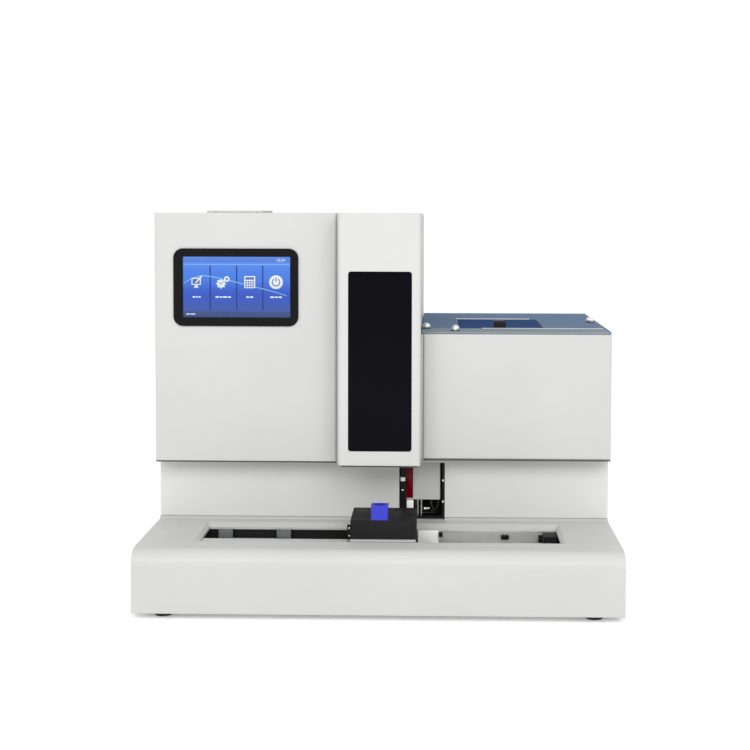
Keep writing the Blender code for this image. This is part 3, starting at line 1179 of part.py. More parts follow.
def make_power():
    back = DEPTH - INLET_SETBACK
    low = Vector((INLET_X, back - INLET_DEPTH, INLET_Z))
    high = Vector((INLET_X + INLET_WIDTH, back, INLET_Z + INLET_HEIGHT))
    inlet = block("power_inlet", low, high, "black")
    socket_x = low.x + SOCKET_INSET
    middle_z = (low.z + high.z) / 2
    well = rocker_axis()
    well_half_x = ROCKER_WIDTH / 2 + 2 * GAP
    well_half_z = ROCKER_HEIGHT / 2 + SHEET
    cut(inlet, box_tool((socket_x, back - SOCKET_DEPTH, middle_z - SOCKET_HEIGHT / 2),
                        (socket_x + SOCKET_WIDTH, back + WALL, middle_z + SOCKET_HEIGHT / 2)),
        box_tool((well.x - well_half_x, back - SOCKET_DEPTH, middle_z - well_half_z),
                 (well.x + well_half_x, back + WALL, middle_z + well_half_z)))
    for x, z in ((-SOCKET_PITCH, -SHEET), (0.0, WALL), (SOCKET_PITCH, -SHEET)):
        centre = socket_x + SOCKET_WIDTH / 2 + x
        join(inlet, box_tool((centre - SHEET / 2, back - SOCKET_DEPTH - SHEET, middle_z + z - SHEET),
                             (centre + SHEET / 2, back - 2 * SHEET, middle_z + z + SHEET)))
    reach = Vector((ROCKER_WIDTH, ROCKER_DEPTH, ROCKER_HEIGHT)) / 2
    rocker = block("power_rocker", well - reach, well + reach, "black", pivot=well)
    soften(rocker, ROCKER_EDGE, 0, segments=2)
    rocker.rotation_euler = (-ROCKER_TILT, 0, 0)


def make_electronics():
    supply_x = RIGHT - WALL - SUPPLY_INSET - SUPPLY_WIDTH
    supply_y = REAR_Y - INLET_DEPTH - SUPPLY_INSET - SUPPLY_LENGTH
    supply = block("power_supply", (supply_x, supply_y, FLOOR_Z),
                   (supply_x + SUPPLY_WIDTH, supply_y + SUPPLY_LENGTH, FLOOR_Z + SUPPLY_HEIGHT), "steel")
    soften(supply, SHEET / 2, 2, segments=1)
    board_x = LEFT + BOARD_INSET
    board_y = DECK_DEPTH + BOARD_SETBACK
    board_z = FLOOR_Z + BOARD_RISE
    board_top = board_z + BOARD_THICKNESS
    board = block("control_board", (board_x, board_y, board_z),
                  (board_x + BOARD_WIDTH, board_y + BOARD_LENGTH, board_top), "board")
    for x in (BOARD_POST_INSET, BOARD_WIDTH - BOARD_POST_INSET):
        for y in (BOARD_POST_INSET, BOARD_LENGTH - BOARD_POST_INSET):
            join(board, rod_tool((board_x + x, board_y + y, FLOOR_Z),
                                 (board_x + x, board_y + y, board_z + BOARD_THICKNESS / 2), BOARD_POST_RADIUS,
                                 sides=8))
    for x, y, width, length, height in BOARD_CHIPS:
        join(board, box_tool((board_x + x, board_y + y, board_z + BOARD_THICKNESS / 2),
                             (board_x + x + width, board_y + y + length, board_top + height)))


clear_scene()
FRONT = make_front_plane()
make_feet()
make_base_plate()
make_base_cover()
make_channel()
make_trays()
make_station()
make_pushers()
make_mid_housing()
make_scanner()
make_tower_shell()
make_tower_front()
make_sampling_cover()
make_cover_hinges()
make_needle_lift()
make_pump()
make_strip_housing()
make_lid()
make_feeder()
make_drawer()
make_printer()
make_rear_panel()
make_fan()
make_power()
make_electronics()
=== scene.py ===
"""Looks of a bench-top urine analyzer: finishes, lit screen, scanner bay, rack channel and rear fittings."""
import math

import bmesh
import bpy
from mathutils import Matrix, Vector


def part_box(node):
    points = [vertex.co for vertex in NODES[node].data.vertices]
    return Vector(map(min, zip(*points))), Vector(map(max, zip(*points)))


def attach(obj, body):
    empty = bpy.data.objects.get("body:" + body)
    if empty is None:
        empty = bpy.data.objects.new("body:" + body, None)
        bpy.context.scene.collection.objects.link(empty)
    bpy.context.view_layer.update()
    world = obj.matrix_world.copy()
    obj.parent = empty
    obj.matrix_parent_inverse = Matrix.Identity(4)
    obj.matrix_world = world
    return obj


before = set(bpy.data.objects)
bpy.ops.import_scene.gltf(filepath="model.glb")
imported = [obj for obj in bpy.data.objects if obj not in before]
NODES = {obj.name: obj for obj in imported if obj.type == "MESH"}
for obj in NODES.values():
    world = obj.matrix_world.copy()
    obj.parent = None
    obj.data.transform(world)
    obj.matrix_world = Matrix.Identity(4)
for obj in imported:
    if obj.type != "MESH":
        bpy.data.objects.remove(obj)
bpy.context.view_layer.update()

# Camera that matches the photograph's view
CAMERA_PLACE = (0.0780, -2.0155, 0.5372)
CAMERA_PITCH = 0.045
CAMERA_YAW = 0.0212
CAMERA_ROLL = -0.0027
CAMERA_LENS = 64.8
CAMERA_SHIFT = (-0.0460, -0.1356)

# Small distances shared by the pieces, in metres
SKIN = 0.0002

# Height of the deck's plinth, face of the rack's rear guide, reach of the hatch's pins
PLINTH = 0.003
GUIDE_FACE = -0.110
HATCH_PIN = 0.0040

# Places measured in the photograph: left and right in X, foot and top in Z
PLUG_X = (0.0334, 0.0436)
PLUG_Z = (0.1066, 0.1180)
TUBE_PLACES = (0.0500, 0.0551)
TUBE_RADIUS = 0.0013
TUBE_COLLAR = 0.0017
FERRULE_X = 0.0585
FERRULE_Z = 0.1052
REFLECTOR_Z = (0.1466, 0.1524)
SENSOR_X = (0.0808, 0.0860)
SENSOR_Z = (0.0765, 0.0832)
GUIDE_X = (0.0508, 0.0800)
GUIDE_Z = (0.0670, 0.0843)
STOP_LEFT_X = (0.1690, 0.1802)
STOP_LEFT_Z = (0.0734, 0.0800)
STOP_RIGHT_X = (0.2220, 0.2380)
STOP_RIGHT_Z = (0.0695, 0.0802)
STOP_DEPTH = 0.0050

# Lid, painted shadow strips and rear ports
SHADOW_STRIP_DROP = 0.0022
EDGE_WIDTH = 0.0014
RIM = 0.0012
PORT_SPACE = 0.010
PORT_SIZES = ((0.016, 0.013), (0.014, 0.007), (0.014, 0.007), (0.031, 0.011))


def shade(colour, factor):
    return tuple(min(1.0, channel * factor) for channel in colour)


class Finish:
    """A Principled material with its node tree, built up a layer at a time."""

    def __init__(self, name, colour, roughness, metallic=0.0, **sockets):
        self.material = bpy.data.materials.new(name)
        self.material.use_nodes = True
        self.tree = self.material.node_tree
        self.shader = self.tree.nodes["Principled BSDF"]
        self.colour = colour
        self.roughness = roughness
        self.place = self.tree.nodes.new("ShaderNodeTexCoord").outputs["Object"]
        self.bumps = None
        self.put("Base Color", (*colour, 1.0))
        self.put("Roughness", roughness)
        self.put("Metallic", metallic)
        for socket, value in sockets.items():
            self.put(socket.replace("_", " "), value)

    def put(self, socket, value):
        self.shader.inputs[socket].default_value = value

    def link(self, start, end):
        self.tree.links.new(start, end)

    def noise(self, scale, detail=2.0, stretch=None, rough=0.5):
        node = self.tree.nodes.new("ShaderNodeTexNoise")
        node.inputs["Scale"].default_value = scale
        node.inputs["Detail"].default_value = detail
        node.inputs["Roughness"].default_value = rough
        place = self.place
        if stretch is not None:
            mapping = self.tree.nodes.new("ShaderNodeMapping")
            mapping.inputs["Scale"].default_value = stretch
            self.link(place, mapping.inputs["Vector"])
            place = mapping.outputs["Vector"]
        self.link(place, node.inputs["Vector"])
        return node.outputs["Fac"]

    def tone(self, source, low, high, start=0.3, end=0.7):
        """Vary the base colour between two factors of it by a source value."""
        ramp = self.tree.nodes.new("ShaderNodeValToRGB")
        ramp.color_ramp.elements[0].position = start
        ramp.color_ramp.elements[1].position = end
        ramp.color_ramp.elements[0].color = (*shade(self.colour, low), 1.0)
        ramp.color_ramp.elements[1].color = (*shade(self.colour, high), 1.0)
        self.link(source, ramp.inputs["Fac"])
        self.link(ramp.outputs["Color"], self.shader.inputs["Base Color"])

    def gloss(self, source, spread):
        """Vary the roughness about its value by a source value."""
        reach = self.tree.nodes.new("ShaderNodeMapRange")
        reach.inputs["From Min"].default_value = 0.3
        reach.inputs["From Max"].default_value = 0.7
        reach.inputs["To Min"].default_value = max(0.02, self.roughness - spread)
        reach.inputs["To Max"].default_value = min(1.0, self.roughness + spread)
        self.link(source, reach.inputs["Value"])
        self.link(reach.outputs["Result"], self.shader.inputs["Roughness"])

    def relief(self, source, depth):
        """Add a bump of that depth, in metres, over what is there already."""
        bump = self.tree.nodes.new("ShaderNodeBump")
        bump.inputs["Distance"].default_value = depth
        bump.inputs["Strength"].default_value = 1.0
        self.link(source, bump.inputs["Height"])
        if self.bumps is not None:
            self.link(self.bumps, bump.inputs["Normal"])
        self.bumps = bump.outputs["Normal"]
        self.link(self.bumps, self.shader.inputs["Normal"])

    def soft_edges(self, radius):
        """Round sharp edges in the shading alone."""
        bevel = self.tree.nodes.new("ShaderNodeBevel")
        bevel.samples = 6
        bevel.inputs["Radius"].default_value = radius
        self.bumps = bevel.outputs["Normal"]
        self.link(self.bumps, self.shader.inputs["Normal"])


def moulded(name, colour, roughness, grain=0.00003, spread=0.02, edge=0.0008, grain_scale=1500, **sockets):
    """Textured moulded plastic or powder coat: faint clouds, a fine grain and eased edges."""
    finish = Finish(name, colour, roughness, **sockets)
    clouds = finish.noise(7.0, 3.0)
    finish.tone(clouds, 1 - spread, 1 + spread)
    finish.gloss(finish.noise(40.0, 2.0), 0.05)
    if edge:
        finish.soft_edges(edge)
    finish.relief(finish.noise(grain_scale, 2.0, rough=0.6), grain)
    return finish


def brushed(name, colour, roughness, along, depth=0.000012, spread=0.12, edge=0.0004):
    """Rolled or brushed metal: fine streaks that run along one axis."""
    finish = Finish(name, colour, roughness, metallic=1.0)
    stretch = [520.0, 520.0, 520.0]
    stretch[along] = 9.0
    streaks = finish.noise(1.0, 4.0, stretch=stretch, rough=0.7)
    finish.tone(streaks, 1 - spread, 1 + spread / 2)
    finish.gloss(streaks, 0.10)
    finish.soft_edges(edge)
    finish.relief(streaks, depth)
    return finish


def polished(name, colour, roughness, metallic=0.0, **sockets):
    """Smooth gloss surface with faint smears in its roughness and a slow ripple."""
    finish = Finish(name, colour, roughness, metallic=metallic, **sockets)
    finish.gloss(finish.noise(25.0, 4.0), min(0.05, roughness * 0.7))
    finish.soft_edges(0.0004)
    finish.relief(finish.noise(60.0, 1.0), 0.000004)
    return finish


def rubber(name, colour, roughness=0.75):
    finish = Finish(name, colour, roughness)
    finish.tone(finish.noise(120.0, 3.0), 0.8, 1.3)
    finish.gloss(finish.noise(60.0, 3.0), 0.12)
    finish.soft_edges(0.0006)
    finish.relief(finish.noise(900.0, 3.0), 0.00006)
    return finish


def glowing(name, colour, strength=1.0):
    """Lit pixels of the screen: a soft vertical fade over each piece."""
    finish = Finish(name, (0.0, 0.0, 0.0), 0.25, Emission_Strength=strength, Specular_IOR_Level=0.1)
    fade = finish.tree.nodes.new("ShaderNodeSeparateXYZ")
    coordinates = finish.tree.nodes.new("ShaderNodeTexCoord")
    finish.link(coordinates.outputs["Generated"], fade.inputs["Vector"])
    ramp = finish.tree.nodes.new("ShaderNodeValToRGB")
    ramp.color_ramp.elements[0].color = (*shade(colour, 0.86), 1.0)
    ramp.color_ramp.elements[1].color = (*colour, 1.0)
    finish.link(fade.outputs["Z"], ramp.inputs["Fac"])
    finish.link(ramp.outputs["Color"], finish.shader.inputs["Emission Color"])
    return finish


def make_screen_finish(name, low, high, stops, strength=1.0):
    """A lit picture whose colour runs from bottom to top through the given stops."""
    finish = Finish(name, (0.0, 0.0, 0.0), 0.12, Emission_Strength=strength, Specular_IOR_Level=0.1)
    parts = finish.tree.nodes.new("ShaderNodeSeparateXYZ")
    finish.link(finish.place, parts.inputs["Vector"])
    reach = finish.tree.nodes.new("ShaderNodeMapRange")
    reach.inputs["From Min"].default_value = low
    reach.inputs["From Max"].default_value = high
    finish.link(parts.outputs["Z"], reach.inputs["Value"])
    ramp = finish.tree.nodes.new("ShaderNodeValToRGB")
    ramp.color_ramp.interpolation = 'EASE'
    first, last = ramp.color_ramp.elements[0], ramp.color_ramp.elements[1]
    first.position, first.color = stops[0][0], (*stops[0][1], 1.0)
    last.position, last.color = stops[-1][0], (*stops[-1][1], 1.0)
    for position, colour in stops[1:-1]:
        element = ramp.color_ramp.elements.new(position)
        element.color = (*colour, 1.0)
    finish.link(reach.outputs["Result"], ramp.inputs["Fac"])
    finish.link(ramp.outputs["Color"], finish.shader.inputs["Emission Color"])
    return finish


def tinted(name, colour, roughness, **sockets):
    """Cast acrylic: coloured, partly see-through, with faint waves."""
    finish = Finish(name, colour, roughness, **sockets)
    finish.tone(finish.noise(5.0, 2.0), 0.93, 1.07)
    finish.gloss(finish.noise(30.0, 3.0), 0.02)
    finish.soft_edges(0.0005)
    finish.relief(finish.noise(18.0, 1.0), 0.00002)
    return finish


# Finishes
# One housing grey in several copies. The cover copy is paler: painted light on the forward cover. The wall
# copy, used on the mid housing and the rear panel, is paler too: painted light that lifts the shaded wall
# under the tower and strip box.
housing = moulded("housing_grey", (0.445, 0.445, 0.434), 0.42, Specular_IOR_Level=0.3)
housing_front = moulded("housing_front", (0.450, 0.450, 0.440), 0.42, Specular_IOR_Level=0.3)
housing_cover_painted_light = moulded("housing_cover_painted_light", (0.470, 0.472, 0.460), 0.40, Specular_IOR_Level=0.3)
housing_wall_painted_light = moulded("housing_wall_painted_light", (0.540, 0.540, 0.528), 0.45, Specular_IOR_Level=0.3)
steel_x = brushed("steel_brushed_x", (0.80, 0.80, 0.79), 0.42, 0)
steel_y = brushed("steel_brushed_y", (0.62, 0.62, 0.61), 0.36, 1)
steel_z = brushed("steel_brushed_z", (0.62, 0.62, 0.61), 0.36, 2)
aluminium = brushed("aluminium_satin", (0.60, 0.61, 0.62), 0.36, 2, depth=0.000006, spread=0.05)
aluminium_x = brushed("aluminium_satin_x", (0.52, 0.53, 0.54), 0.38, 0, depth=0.000006, spread=0.06)
chrome = polished("chrome_bright", (0.82, 0.82, 0.83), 0.07, metallic=1.0)
black_plastic = moulded("black_grained", (0.010, 0.010, 0.011), 0.50, grain=0.00005, spread=0.12,
                        grain_scale=1100, Specular_IOR_Level=0.12)
black_satin = moulded("black_satin", (0.008, 0.008, 0.009), 0.36, grain=0.00003, spread=0.10,
                      Specular_IOR_Level=0.15)
gloss_black = polished("black_gloss", (0.006, 0.006, 0.007), 0.14, Specular_IOR_Level=0.08)
window_black = polished("window_black", (0.0022, 0.0020, 0.0036), 0.10, Specular_IOR_Level=0.04)
foot_rubber = rubber("foot_black", (0.012, 0.012, 0.012))
belt_rubber = rubber("belt_black", (0.015, 0.015, 0.016), 0.6)
lid_tint = tinted("lid_acrylic", (0.140, 0.197, 0.287), 0.22, Specular_IOR_Level=0.0, Alpha=0.9)
hatch_tint = tinted("hatch_acrylic", (0.037, 0.071, 0.165), 0.20, Specular_IOR_Level=0.0, Alpha=0.9)
lid_band = tinted("lid_front_band", (0.203, 0.236, 0.258), 0.3, Specular_IOR_Level=0.0)
# Near-black grey for the painted shadow lines under the boxes' bottom edges.
painted_shadow_dark = moulded("painted_shadow_dark", (0.075, 0.075, 0.073), 0.6, spread=0.1, edge=0.0, Specular_IOR_Level=0.1)
# Near-white diffuse sheet. On the rack guide it stands for bright stainless steel, and its lightness is a
# painted reflection against the bay's shade.
bright_sheet = moulded("bright_sheet", (0.88, 0.88, 0.87), 0.35, spread=0.03, edge=0.0003)
blue_acrylic = tinted("stat_blue", (0.030, 0.042, 0.54), 0.12, Specular_IOR_Level=0.2,
                      Transmission_Weight=0.25)
silver_plastic = moulded("scanner_silver", (0.40, 0.40, 0.39), 0.42, grain=0.00002, spread=0.04)
white_plastic = moulded("white_natural", (0.72, 0.72, 0.70), 0.45, spread=0.03)
glass = Finish("barrel_glass", (0.92, 0.96, 0.96), 0.03, Transmission_Weight=1.0, IOR=1.47)
glass.gloss(glass.noise(20.0), 0.02)
paper = moulded("thermal_paper", (0.86, 0.86, 0.85), 0.85, grain=0.00004, spread=0.03, edge=0.0003,
                grain_scale=700)
board_green = moulded("board_green", (0.015, 0.13, 0.06), 0.40, spread=0.15)
cable_black = moulded("cable_black", (0.010, 0.010, 0.011), 0.42, spread=0.2, edge=0.0)
red_glass = polished("scanner_red", (0.120, 0.001, 0.003), 0.08, Specular_IOR_Level=0.1)
nickel = polished("screw_nickel", (0.62, 0.61, 0.59), 0.22, metallic=1.0)
# Plain white: the scanner's white plug, and also the painted glint lines on the lid.
white_plug_and_glint = moulded("white_plug_and_glint", (0.80, 0.80, 0.79), 0.5, spread=0.01, edge=0.0)
icon_white = glowing("icon_light", (0.86, 0.92, 1.0))
icon_dark = glowing("icon_shadow", (0.12, 0.20, 0.55), 0.9)

NODE_FINISHES = {
    "base_cover": housing, "mid_housing": housing_wall_painted_light, "tower_shell": housing_front,
    "tower_front_panel": housing_front, "sampling_cover": housing_cover_painted_light, "strip_housing": housing_front,
    "strip_front_panel": housing_front, "printer_lid": housing_front, "rear_panel": housing_wall_painted_light,
    "foot_front_left": foot_rubber, "foot_front_right": foot_rubber,
    "foot_rear_left": foot_rubber, "foot_rear_right": foot_rubber,
    "base_plate": steel_x, "tray_left": steel_x, "tray_right": steel_x, "feed_pusher": steel_x,
    "feeder_frame": steel_z, "cover_hinge_upper": steel_z, "cover_hinge_lower": steel_z,
    "power_supply": steel_y, "channel_liner": black_plastic, "sampling_station": black_plastic,
    "shift_pusher": black_plastic, "scanner_bracket": black_satin, "lift_motor": black_plastic,
    "optics_head": black_plastic, "hatch_knob": black_plastic, "printer_bay": black_plastic,
    "fan_frame": black_plastic, "fan_rotor": black_satin, "power_inlet": black_plastic,
    "power_rocker": black_satin, "screen_bezel": gloss_black, "cover_window": window_black,
    "top_lid": lid_tint, "hopper_hatch": hatch_tint, "stat_holder": blue_acrylic,
    "lid_screw_1": chrome, "lid_screw_2": chrome, "lid_screw_3": chrome, "sampling_needle": chrome,
    "eject_pusher": aluminium_x, "lift_frame": aluminium, "needle_carriage": aluminium,
    "lift_pulley_upper": aluminium, "lift_pulley_lower": aluminium, "strip_platform": aluminium_x,
    "barcode_scanner": silver_plastic, "syringe_pump": silver_plastic, "strip_hopper": white_plastic,
    "strip_drum": white_plastic, "waste_drawer": housing_front, "syringe_plunger": white_plastic,
    "syringe_barrel": glass, "lift_belt": belt_rubber, "platen_roller": belt_rubber, "paper_roll": paper,
    "control_board": board_green,
}


# Mesh building
def new_piece(name, form, finish, body="chassis", angle=35):
    bmesh.ops.recalc_face_normals(form, faces=form.faces)
    mesh = bpy.data.meshes.new(name)
    form.to_mesh(mesh)
    form.free()
    mesh.shade_smooth()
    mesh.set_sharp_from_angle(angle=math.radians(angle))
    mesh.materials.append(finish.material)
    item = bpy.data.objects.new(name, mesh)
    bpy.context.scene.collection.objects.link(item)
    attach(item, body)
    return item


def add_block(form, low, high, radius=0.0, segments=2):
    """A box between two corners, with all its edges rounded."""
    low = Vector(low)
    high = Vector(high)
    made = bmesh.ops.create_cube(form, size=1)["verts"]
    bmesh.ops.scale(form, verts=made, vec=high - low)
    bmesh.ops.translate(form, verts=made, vec=(low + high) / 2)
    if radius:
        edges = list({edge for corner in made for edge in corner.link_edges})
        bmesh.ops.bevel(form, geom=edges, offset=radius, segments=segments, profile=0.5, affect='EDGES')


def add_turned(form, base, axis, profile, steps=24):
    """A turned solid: (radius, height) points from the axis outwards and back to it."""
    base = Vector(base)
    turn = Vector((0, 0, 1)).rotation_difference(Vector(axis)).to_matrix()
    rings = []
    for radius, height in profile:
        if radius < 1e-7:
            rings.append([form.verts.new(base + turn @ Vector((0, 0, height)))])
            continue
        ring = []
        for step in range(steps):
            angle = math.tau * step / steps
            point = Vector((radius * math.cos(angle), radius * math.sin(angle), height))
            ring.append(form.verts.new(base + turn @ point))
        rings.append(ring)
    for lower, upper in zip(rings, rings[1:]):
        for step in range(steps):
            after = (step + 1) % steps
            if len(lower) == 1 and len(upper) == 1:
                continue
            if len(lower) == 1:
                form.faces.new((lower[0], upper[step], upper[after]))
            elif len(upper) == 1:
                form.faces.new((lower[step], lower[after], upper[0]))
            else:
                form.faces.new((lower[step], lower[after], upper[after], upper[step]))


def add_outline(form, points, back, front, to_world):
    """A flat plate: 2-D outline points, given thickness from back to front."""
    lower = [form.verts.new(to_world(u, v, back)) for u, v in points]
    upper = [form.verts.new(to_world(u, v, front)) for u, v in points]
    form.faces.new(lower)
    form.faces.new(list(reversed(upper)))
    count = len(points)
    for index in range(count):
        after = (index + 1) % count
        form.faces.new((lower[index], upper[index], upper[after], lower[after]))


def rounded_outline(left, bottom, right, top, radius, steps=5):
    points = []
    corners = ((right - radius, top - radius, 0), (left + radius, top - radius, 90),
               (left + radius, bottom + radius, 180), (right - radius, bottom + radius, 270))
    for x, y, start in corners:
        for step in range(steps + 1):
            angle = math.radians(start + 90 * step / steps)
            points.append((x + radius * math.cos(angle), y + radius * math.sin(angle)))
    return points


def round_outline(x, y, radius, steps=28):
    return [(x + radius * math.cos(math.tau * step / steps), y + radius * math.sin(math.tau * step / steps))
            for step in range(steps)]


def add_ring(form, x, y, outer, inner, back, front, to_world, start=0.0, sweep=360.0, steps=28):
    """A flat ring or arc, as a closed strip of quads."""
    full = sweep > 359.0
    count = steps if full else steps + 1
    loops = []
    for step in range(count):
        angle = math.radians(start + sweep * step / steps)
        loops.append([form.verts.new(to_world(x + r * math.cos(angle), y + r * math.sin(angle), d))
                      for r, d in ((outer, back), (outer, front), (inner, front), (inner, back))])
    for step in range(count if full else count - 1):
        first = loops[step]
        second = loops[(step + 1) % count]
        for side in range(4):
            after = (side + 1) % 4
            form.faces.new((first[side], first[after], second[after], second[side]))
    if not full:
        form.faces.new(loops[0])
        form.faces.new(list(reversed(loops[-1])))


def make_cable(name, points, radius, finish, body="chassis"):
    """A short fixed wire through the given points, as a smooth tube."""
    curve = bpy.data.curves.new(name, 'CURVE')
    curve.dimensions = '3D'
    curve.bevel_depth = radius
    curve.bevel_resolution = 3
    curve.use_fill_caps = True
    curve.resolution_u = 8
    spline = curve.splines.new('BEZIER')
    spline.bezier_points.add(len(points) - 1)
    for knot, point in zip(spline.bezier_points, points):
        knot.co = point
        knot.handle_left_type = 'AUTO'
        knot.handle_right_type = 'AUTO'
    curve.materials.append(finish.material)
    item = bpy.data.objects.new(name, curve)
    bpy.context.scene.collection.objects.link(item)
    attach(item, body)
    return item


def add_screw(form, place, axis, radius, height=None):
    """A socket head: domed rim with a sunk middle."""
    height = radius * 0.62 if height is None else height
    sunk = height * 0.35
    add_turned(form, place, axis,
               ((0.0, 0.0), (radius * 0.96, 0.0), (radius, height * 0.35), (radius * 0.93, height * 0.7),
                (radius * 0.72, height * 0.95), (radius * 0.52, height), (radius * 0.46, height * 0.92),
                (radius * 0.42, sunk), (0.0, sunk)), steps=18)


# Camera, lights and floor
def make_camera():
    data = bpy.data.cameras.new("photo_camera")
    data.lens = CAMERA_LENS
    data.sensor_width = 36.0
    data.shift_x, data.shift_y = CAMERA_SHIFT
    camera = bpy.data.objects.new("photo_camera", data)
    camera.location = CAMERA_PLACE
    camera.rotation_euler = (math.pi / 2 - CAMERA_PITCH, CAMERA_ROLL, CAMERA_YAW)
    bpy.context.scene.collection.objects.link(camera)
    bpy.context.scene.camera = camera


def make_area_light(name, place, target, size, watts, colour=(1.0, 1.0, 1.0)):
    data = bpy.data.lights.new(name, 'AREA')
    data.shape = 'RECTANGLE'
    data.size, data.size_y = size
    data.energy = watts
    data.color = colour
    light = bpy.data.objects.new(name, data)
    light.location = place
    aim = Vector(target) - Vector(place)
    light.rotation_euler = aim.to_track_quat('-Z', 'Y').to_euler()
    bpy.context.scene.collection.objects.link(light)


def make_lights():
    world = bpy.data.worlds.new("studio")
    world.use_nodes = True
    sky = world.node_tree.nodes["Background"]
    sky.inputs["Color"].default_value = (1.0, 1.0, 1.0, 1.0)
    sky.inputs["Strength"].default_value = 1.0
    bpy.context.scene.world = world
    bpy.context.scene.view_settings.view_transform = 'Standard'
    make_area_light("front_right", (0.9, -2.6, 1.9), (0.0, 0.0, 0.25), (2.2, 1.4), 42)
    make_area_light("front_left", (-1.2, -2.6, 1.6), (0.0, 0.0, 0.20), (1.6, 1.2), 24)


def make_floor():
    form = bmesh.new()
    bmesh.ops.create_grid(form, x_segments=8, y_segments=8, size=6.0)
    mesh = bpy.data.meshes.new("floor")
    form.to_mesh(mesh)
    form.free()
    floor = bpy.data.objects.new("floor", mesh)
    bpy.context.scene.collection.objects.link(floor)
    finish = Finish("floor_white", (0.86, 0.86, 0.86), 0.9, Emission_Strength=0.14)
    finish.put("Emission Color", (1.0, 1.0, 1.0, 1.0))
    finish.tone(finish.noise(1.5, 2.0), 0.99, 1.01)
    mesh.materials.append(finish.material)


def paint_nodes():
    for name, finish in NODE_FINISHES.items():
        slots = NODES[name].data.materials
        if len(slots):
            for index in range(len(slots)):
                slots[index] = finish.material
        else:
            slots.append(finish.material)


# The lit screen
def make_screen():
    low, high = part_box("touch_panel")
    face = low.y
    width = high.x - low.x
    height = high.z - low.z

    def at(u, v, out):
        return Vector((low.x + u * width, face - out, high.z - v * height))

    def span(left, top, right, bottom):
        """An outline in screen shares, as points for a plate."""
        return [(left, bottom), (right, bottom), (right, top), (left, top)]

    def mm(u, v, out):
        return Vector((u, face - out, v))

    screen = make_screen_finish("screen_picture", low.z, high.z,
                                ((0.0, (0.060, 0.100, 0.310)), (0.10, (0.070, 0.125, 0.420)),
                                 (0.35, (0.055, 0.115, 0.560)), (0.70, (0.085, 0.230, 0.800)),
                                 (1.0, (0.130, 0.310, 0.880))))
    NODES["touch_panel"].data.materials[0] = screen.material
    header = glowing("screen_header", (0.120, 0.260, 0.800))
    line = glowing("screen_line", (0.25, 0.52, 1.0))
    groove = glowing("screen_groove", (0.030, 0.060, 0.300))
    streak = glowing("screen_streak", (0.30, 0.62, 1.0))
    footer = glowing("screen_footer", (0.065, 0.100, 0.270))

    form = bmesh.new()
    add_outline(form, span(0.0, 0.0, 1.0, 0.085), 0.0, SKIN, at)
    new_piece("screen_header_bar", form, header)
    form = bmesh.new()
    add_outline(form, span(0.0, 0.115, 1.0, 0.128), 0.0, SKIN, at)
    new_piece("screen_rule", form, line)
    form = bmesh.new()
    add_outline(form, span(0.0, 0.905, 1.0, 1.0), 0.0, SKIN, at)
    new_piece("screen_footer_bar", form, footer)

    form = bmesh.new()
    for u in (0.2525, 0.502, 0.747):
        add_outline(form, span(u - 0.006, 0.14, u + 0.006, 0.88), 0.0, SKIN, at)
    new_piece("screen_tile_grooves", form, groove)

    form = bmesh.new()
    path = ((0.0, 0.44), (0.08, 0.355), (0.18, 0.305), (0.28, 0.33), (0.45, 0.395), (0.62, 0.475),
            (0.78, 0.54), (0.90, 0.60), (0.97, 0.64))
    for (u0, v0), (u1, v1) in zip(path, path[1:]):
        add_outline(form, [(u0, v0 + 0.006), (u1, v1 + 0.006), (u1, v1 - 0.006), (u0, v0 - 0.006)],
                    SKIN, 1.5 * SKIN, at)
    new_piece("screen_streak_line", form, streak)
    make_icons(low, high, mm)
    make_labels(at, low, high)


